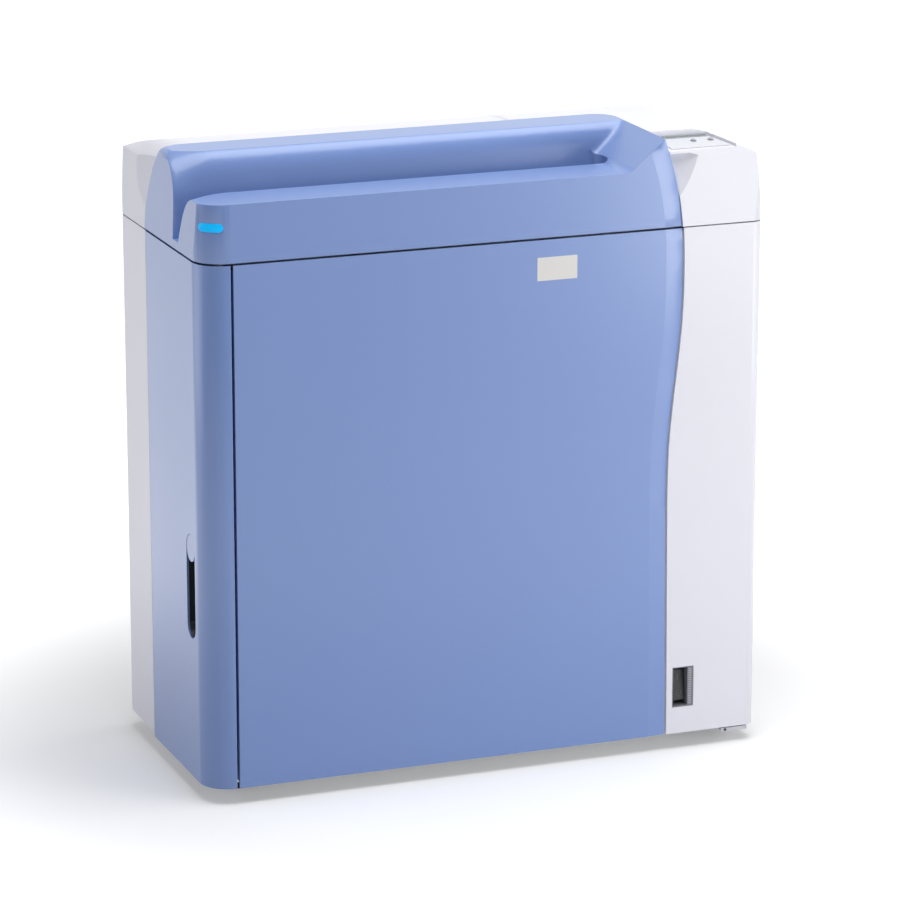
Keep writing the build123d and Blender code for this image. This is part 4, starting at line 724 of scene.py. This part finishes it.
def draw_motor_caps(bm):
    for y, half in MOTOR_ROWS:
        for dx in (-14, 14):
            for dy in (4 - half, half - 4):
                socket_screw(bm, (MOTOR_X + dx, y + dy, motors_high.z), "Z", 1.6)
        for z in (motors_high.z - 9, motors_low.z + 9):
            block(bm, (MOTOR_X - MOTOR_HALF - 0.3, y - half - 0.3, z - 0.6),
                  (MOTOR_X + MOTOR_HALF + 0.3, y + half + 0.3, z + 0.6))
    turned(bm, (feed_high.x, *FEED_MOTOR_AXIS), "X", [
        (15, -0.3, False), (15, 1.6, False), (13.4, 2.4, False), (4.6, 2.4, False), (4.2, 3.6, False)], 32)


def draw_motor_plugs(bm):
    low, high = motors_low.z + 12, motors_low.z + 20
    for y, half in MOTOR_ROWS:
        block(bm, (MOTOR_X - 6, y - half + 4, low + 1), (MOTOR_X + 6, y - half + 9, high))
        block(bm, (MOTOR_X - MOTOR_HALF - 5.5, y - 7, low), (MOTOR_X - MOTOR_HALF + 0.2, y + 7, high))


mesh_piece("motor_caps", aluminium, "housing", draw_motor_caps)
mesh_piece("motor_plugs", print_white, "housing", draw_motor_plugs, 0.4)

# Control board: capacitors, connectors and chips
BOARD_FACE = 205.6
CHIPS = ((84, 330, 14, 14), (10, 350, 10, 20), (70, 480, 18, 10), (95, 440, 12, 12), (0, 300, 8, 12))


def draw_capacitors(bm):
    small = [(62, z, 5, 12) for z in (300, 316, 332)]
    large = [(y, 400, 8, 16) for y in (-4, 16)]
    for y, z, radius, height in small + large:
        turned(bm, (BOARD_FACE, y, z), "X", [
            (radius, -0.2, False), (radius, height - 1.2, False), (radius - 0.6, height - 0.2, False),
            (radius - 1.4, height, False)], 24)


def draw_connectors(bm):
    for z in (275, 300, 345, 370, 420, 445, 480):
        block(bm, (BOARD_FACE - 0.1, 126, z), (BOARD_FACE + 9, 136, z + 18))
    for y in (0, 30, 60, 90):
        block(bm, (BOARD_FACE - 0.1, y, 500), (BOARD_FACE + 8, y + 20, 508))


def draw_chips(bm):
    for y, z, width, height in CHIPS:
        block(bm, (BOARD_FACE - 0.1, y, z), (BOARD_FACE + 2.2, y + width, z + height))


mesh_piece("board_capacitors", black, "housing", draw_capacitors)
mesh_piece("board_connectors", print_white, "housing", draw_connectors, 0.3)
mesh_piece("board_chips", black, "housing", draw_chips, 0.2)

# Optical box lid screws, power supply vents and terminals
optics_high = corners_of("optical_box")[1]


def draw_optics_screws(bm):
    for x in (-172, -60, 52):
        for y in (28, 142):
            socket_screw(bm, (x, y, optics_high.z), "Z", 2.2)


supply_low, supply_high = corners_of("power_supply")


def draw_supply_vents(bm):
    for row in range(7):
        for column in range(9):
            x = supply_low.x + 14 + column * 9
            y = supply_low.y + 20 + row * 18
            block(bm, (x, y, supply_high.z - 0.1), (x + 5, y + 12, supply_high.z + 0.25))


def draw_supply_terminals(bm):
    block(bm, (supply_low.x + 8, supply_low.y - 9, 60), (supply_high.x - 8, supply_low.y + 0.2, 76))
    for index in range(7):
        x = supply_low.x + 17 + index * 11
        block(bm, (x - 0.6, supply_low.y - 10, 61), (x + 0.6, supply_low.y - 8.8, 75))


mesh_piece("optics_screws", steel, "housing", draw_optics_screws)
mesh_piece("supply_vents", black, "housing", draw_supply_vents)
mesh_piece("supply_terminals", black, "housing", draw_supply_terminals, 0.4)

# Feet and bracket
BRACKET_SCREW = (312.0, FRONT + 4.0, 15.2)
FOOT_RADIUS = 22.0


def draw_bracket_screw(bm):
    socket_screw(bm, BRACKET_SCREW, "-Y", 1.7)


def draw_feet_rings(bm):
    feet_low, feet_high = corners_of("rubber_feet")
    for x in (feet_low.x + FOOT_RADIUS, feet_high.x - FOOT_RADIUS):
        for y in (feet_low.y + FOOT_RADIUS, feet_high.y - FOOT_RADIUS):
            for z in (5.5, 10.5):
                tube(bm, circle(FOOT_RADIUS - 0.3, 40, lambda u, v: (x + u, y + v, z)), 0.8, 8, closed=True)


mesh_piece("bracket_screw", black, "housing", draw_bracket_screw)
mesh_piece("feet_rings", rubber, "housing", draw_feet_rings)


# Floor, world and lamps

# Painted shade: the floor's own light stays at this low level within the first radius and rises to full
# beyond the second, darkening the floor round the reader.
FLOOR_GLOW_IN_PAINTED_SHADE = 0.20
PAINTED_SHADE_FADE_RADII = (0.42, 1.1)


def floor_material():
    """White floor that keeps a soft shadow: its own light shows to the camera and in reflections alone, and
    is dimmed towards the middle as a painted shade round the reader.
    """
    material = new_material("floor", (0.80, 0.80, 0.81), 0.9)
    tree = material.node_tree
    vary_colour(material, noise(material, 2.0), (0.79, 0.79, 0.80), (0.81, 0.81, 0.82))
    path = add_node(tree, "ShaderNodeLightPath")
    seen = add_node(tree, "ShaderNodeMath", "MAXIMUM")
    either = add_node(tree, "ShaderNodeMath", "MAXIMUM")
    gain = add_node(tree, "ShaderNodeMath", "MULTIPLY")
    place = add_node(tree, "ShaderNodeTexCoord")
    distance = add_node(tree, "ShaderNodeVectorMath", "LENGTH")
    # Painted shade: the floor's glow is dimmed near the reader, so the floor reads darker where its shadow
    # falls.
    spread = map_range(tree, PAINTED_SHADE_FADE_RADII, (FLOOR_GLOW_IN_PAINTED_SHADE, 1.0))
    spread.interpolation_type = "SMOOTHSTEP"
    shine = add_node(tree, "ShaderNodeEmission")
    both = add_node(tree, "ShaderNodeAddShader")
    links = tree.links
    links.new(place.outputs["Object"], distance.inputs[0])
    links.new(distance.outputs["Value"], spread.inputs["Value"])
    links.new(spread.outputs["Result"], gain.inputs[1])
    links.new(path.outputs["Is Camera Ray"], seen.inputs[0])
    links.new(path.outputs["Is Glossy Ray"], seen.inputs[1])
    links.new(seen.outputs[0], either.inputs[0])
    links.new(path.outputs["Is Transmission Ray"], either.inputs[1])
    links.new(either.outputs[0], gain.inputs[0])
    links.new(gain.outputs[0], shine.inputs["Strength"])
    links.new(shader_of(material).outputs[0], both.inputs[0])
    links.new(shine.outputs[0], both.inputs[1])
    links.new(both.outputs[0], tree.nodes["Material Output"].inputs["Surface"])
    return material


FLOOR_SIZE = 60.0
floor_mesh = bpy.data.meshes.new("floor")
half_floor = FLOOR_SIZE / 2
floor_mesh.from_pydata(
    [(-half_floor, -half_floor, 0), (half_floor, -half_floor, 0), (half_floor, half_floor, 0),
     (-half_floor, half_floor, 0)], [], [(0, 1, 2, 3)])
floor = bpy.data.objects.new("floor", floor_mesh)
bpy.context.scene.collection.objects.link(floor)
floor_mesh.materials.append(floor_material())

WORLD_LEVEL = 0.28
world = bpy.data.worlds.new("studio")
bpy.context.scene.world = world
world.use_nodes = True
world_tree = world.node_tree
backdrop = world_tree.nodes["Background"]
backdrop.inputs["Color"].default_value = (0.98, 0.985, 1.0, 1)

# White to the camera; reflections see it white behind the reader and dimmer in front of it
world_path = add_node(world_tree, "ShaderNodeLightPath")
direction = add_node(world_tree, "ShaderNodeTexCoord")
split = add_node(world_tree, "ShaderNodeSeparateXYZ")
fade = map_range(world_tree, (-0.6, 0.4), (0.40, 1.0))
mirrored = add_node(world_tree, "ShaderNodeMath", "MAXIMUM")
dimmed = add_node(world_tree, "ShaderNodeMath", "MULTIPLY")
seen_or_mirrored = add_node(world_tree, "ShaderNodeMath", "MAXIMUM")
world_level = add_node(world_tree, "ShaderNodeMath", "MAXIMUM")
world_level.inputs[1].default_value = WORLD_LEVEL
world_links = world_tree.links
world_links.new(direction.outputs["Generated"], split.inputs[0])
world_links.new(split.outputs["Y"], fade.inputs["Value"])
world_links.new(world_path.outputs["Is Glossy Ray"], mirrored.inputs[0])
world_links.new(world_path.outputs["Is Transmission Ray"], mirrored.inputs[1])
world_links.new(mirrored.outputs[0], dimmed.inputs[0])
world_links.new(fade.outputs["Result"], dimmed.inputs[1])
world_links.new(world_path.outputs["Is Camera Ray"], seen_or_mirrored.inputs[0])
world_links.new(dimmed.outputs[0], seen_or_mirrored.inputs[1])
world_links.new(seen_or_mirrored.outputs[0], world_level.inputs[0])
world_links.new(world_level.outputs[0], backdrop.inputs["Strength"])


def softbox(name, place, target, size, power, colour=(1, 1, 1)):
    lamp = bpy.data.lights.new(name, "AREA")
    lamp.shape = "RECTANGLE"
    lamp.size, lamp.size_y = size
    lamp.energy = power
    lamp.color = colour
    holder = bpy.data.objects.new(name, lamp)
    holder.location = place
    aim = Vector(target) - Vector(place)
    holder.rotation_euler = aim.to_track_quat("-Z", "Y").to_euler()
    bpy.context.scene.collection.objects.link(holder)
    return holder


softbox("overhead", (0.2, -0.4, 2.4), (0, 0, 0.5), (2.2, 1.4), 43)
softbox("front_right", (1.20, -1.45, 0.62), (0.15, 0, 0.6), (0.9, 0.9), 14)
softbox("left_rear", (-2.3, 0.9, 0.9), (-0.35, 0, 0.4), (1.6, 1.4), 11, (0.88, 0.89, 1.0))

camera_data = bpy.data.cameras.new("camera")
camera_data.lens = LENS
camera_data.sensor_width = 36.0
camera_data.clip_end = 100
camera = bpy.data.objects.new("camera", camera_data)
camera.location = CAMERA_PLACE
camera.rotation_euler = (radians(90 - CAMERA_PITCH), 0, radians(-CAMERA_TURN))
bpy.context.scene.collection.objects.link(camera)
bpy.context.scene.camera = camera
bpy.context.scene.view_settings.view_transform = "Standard"
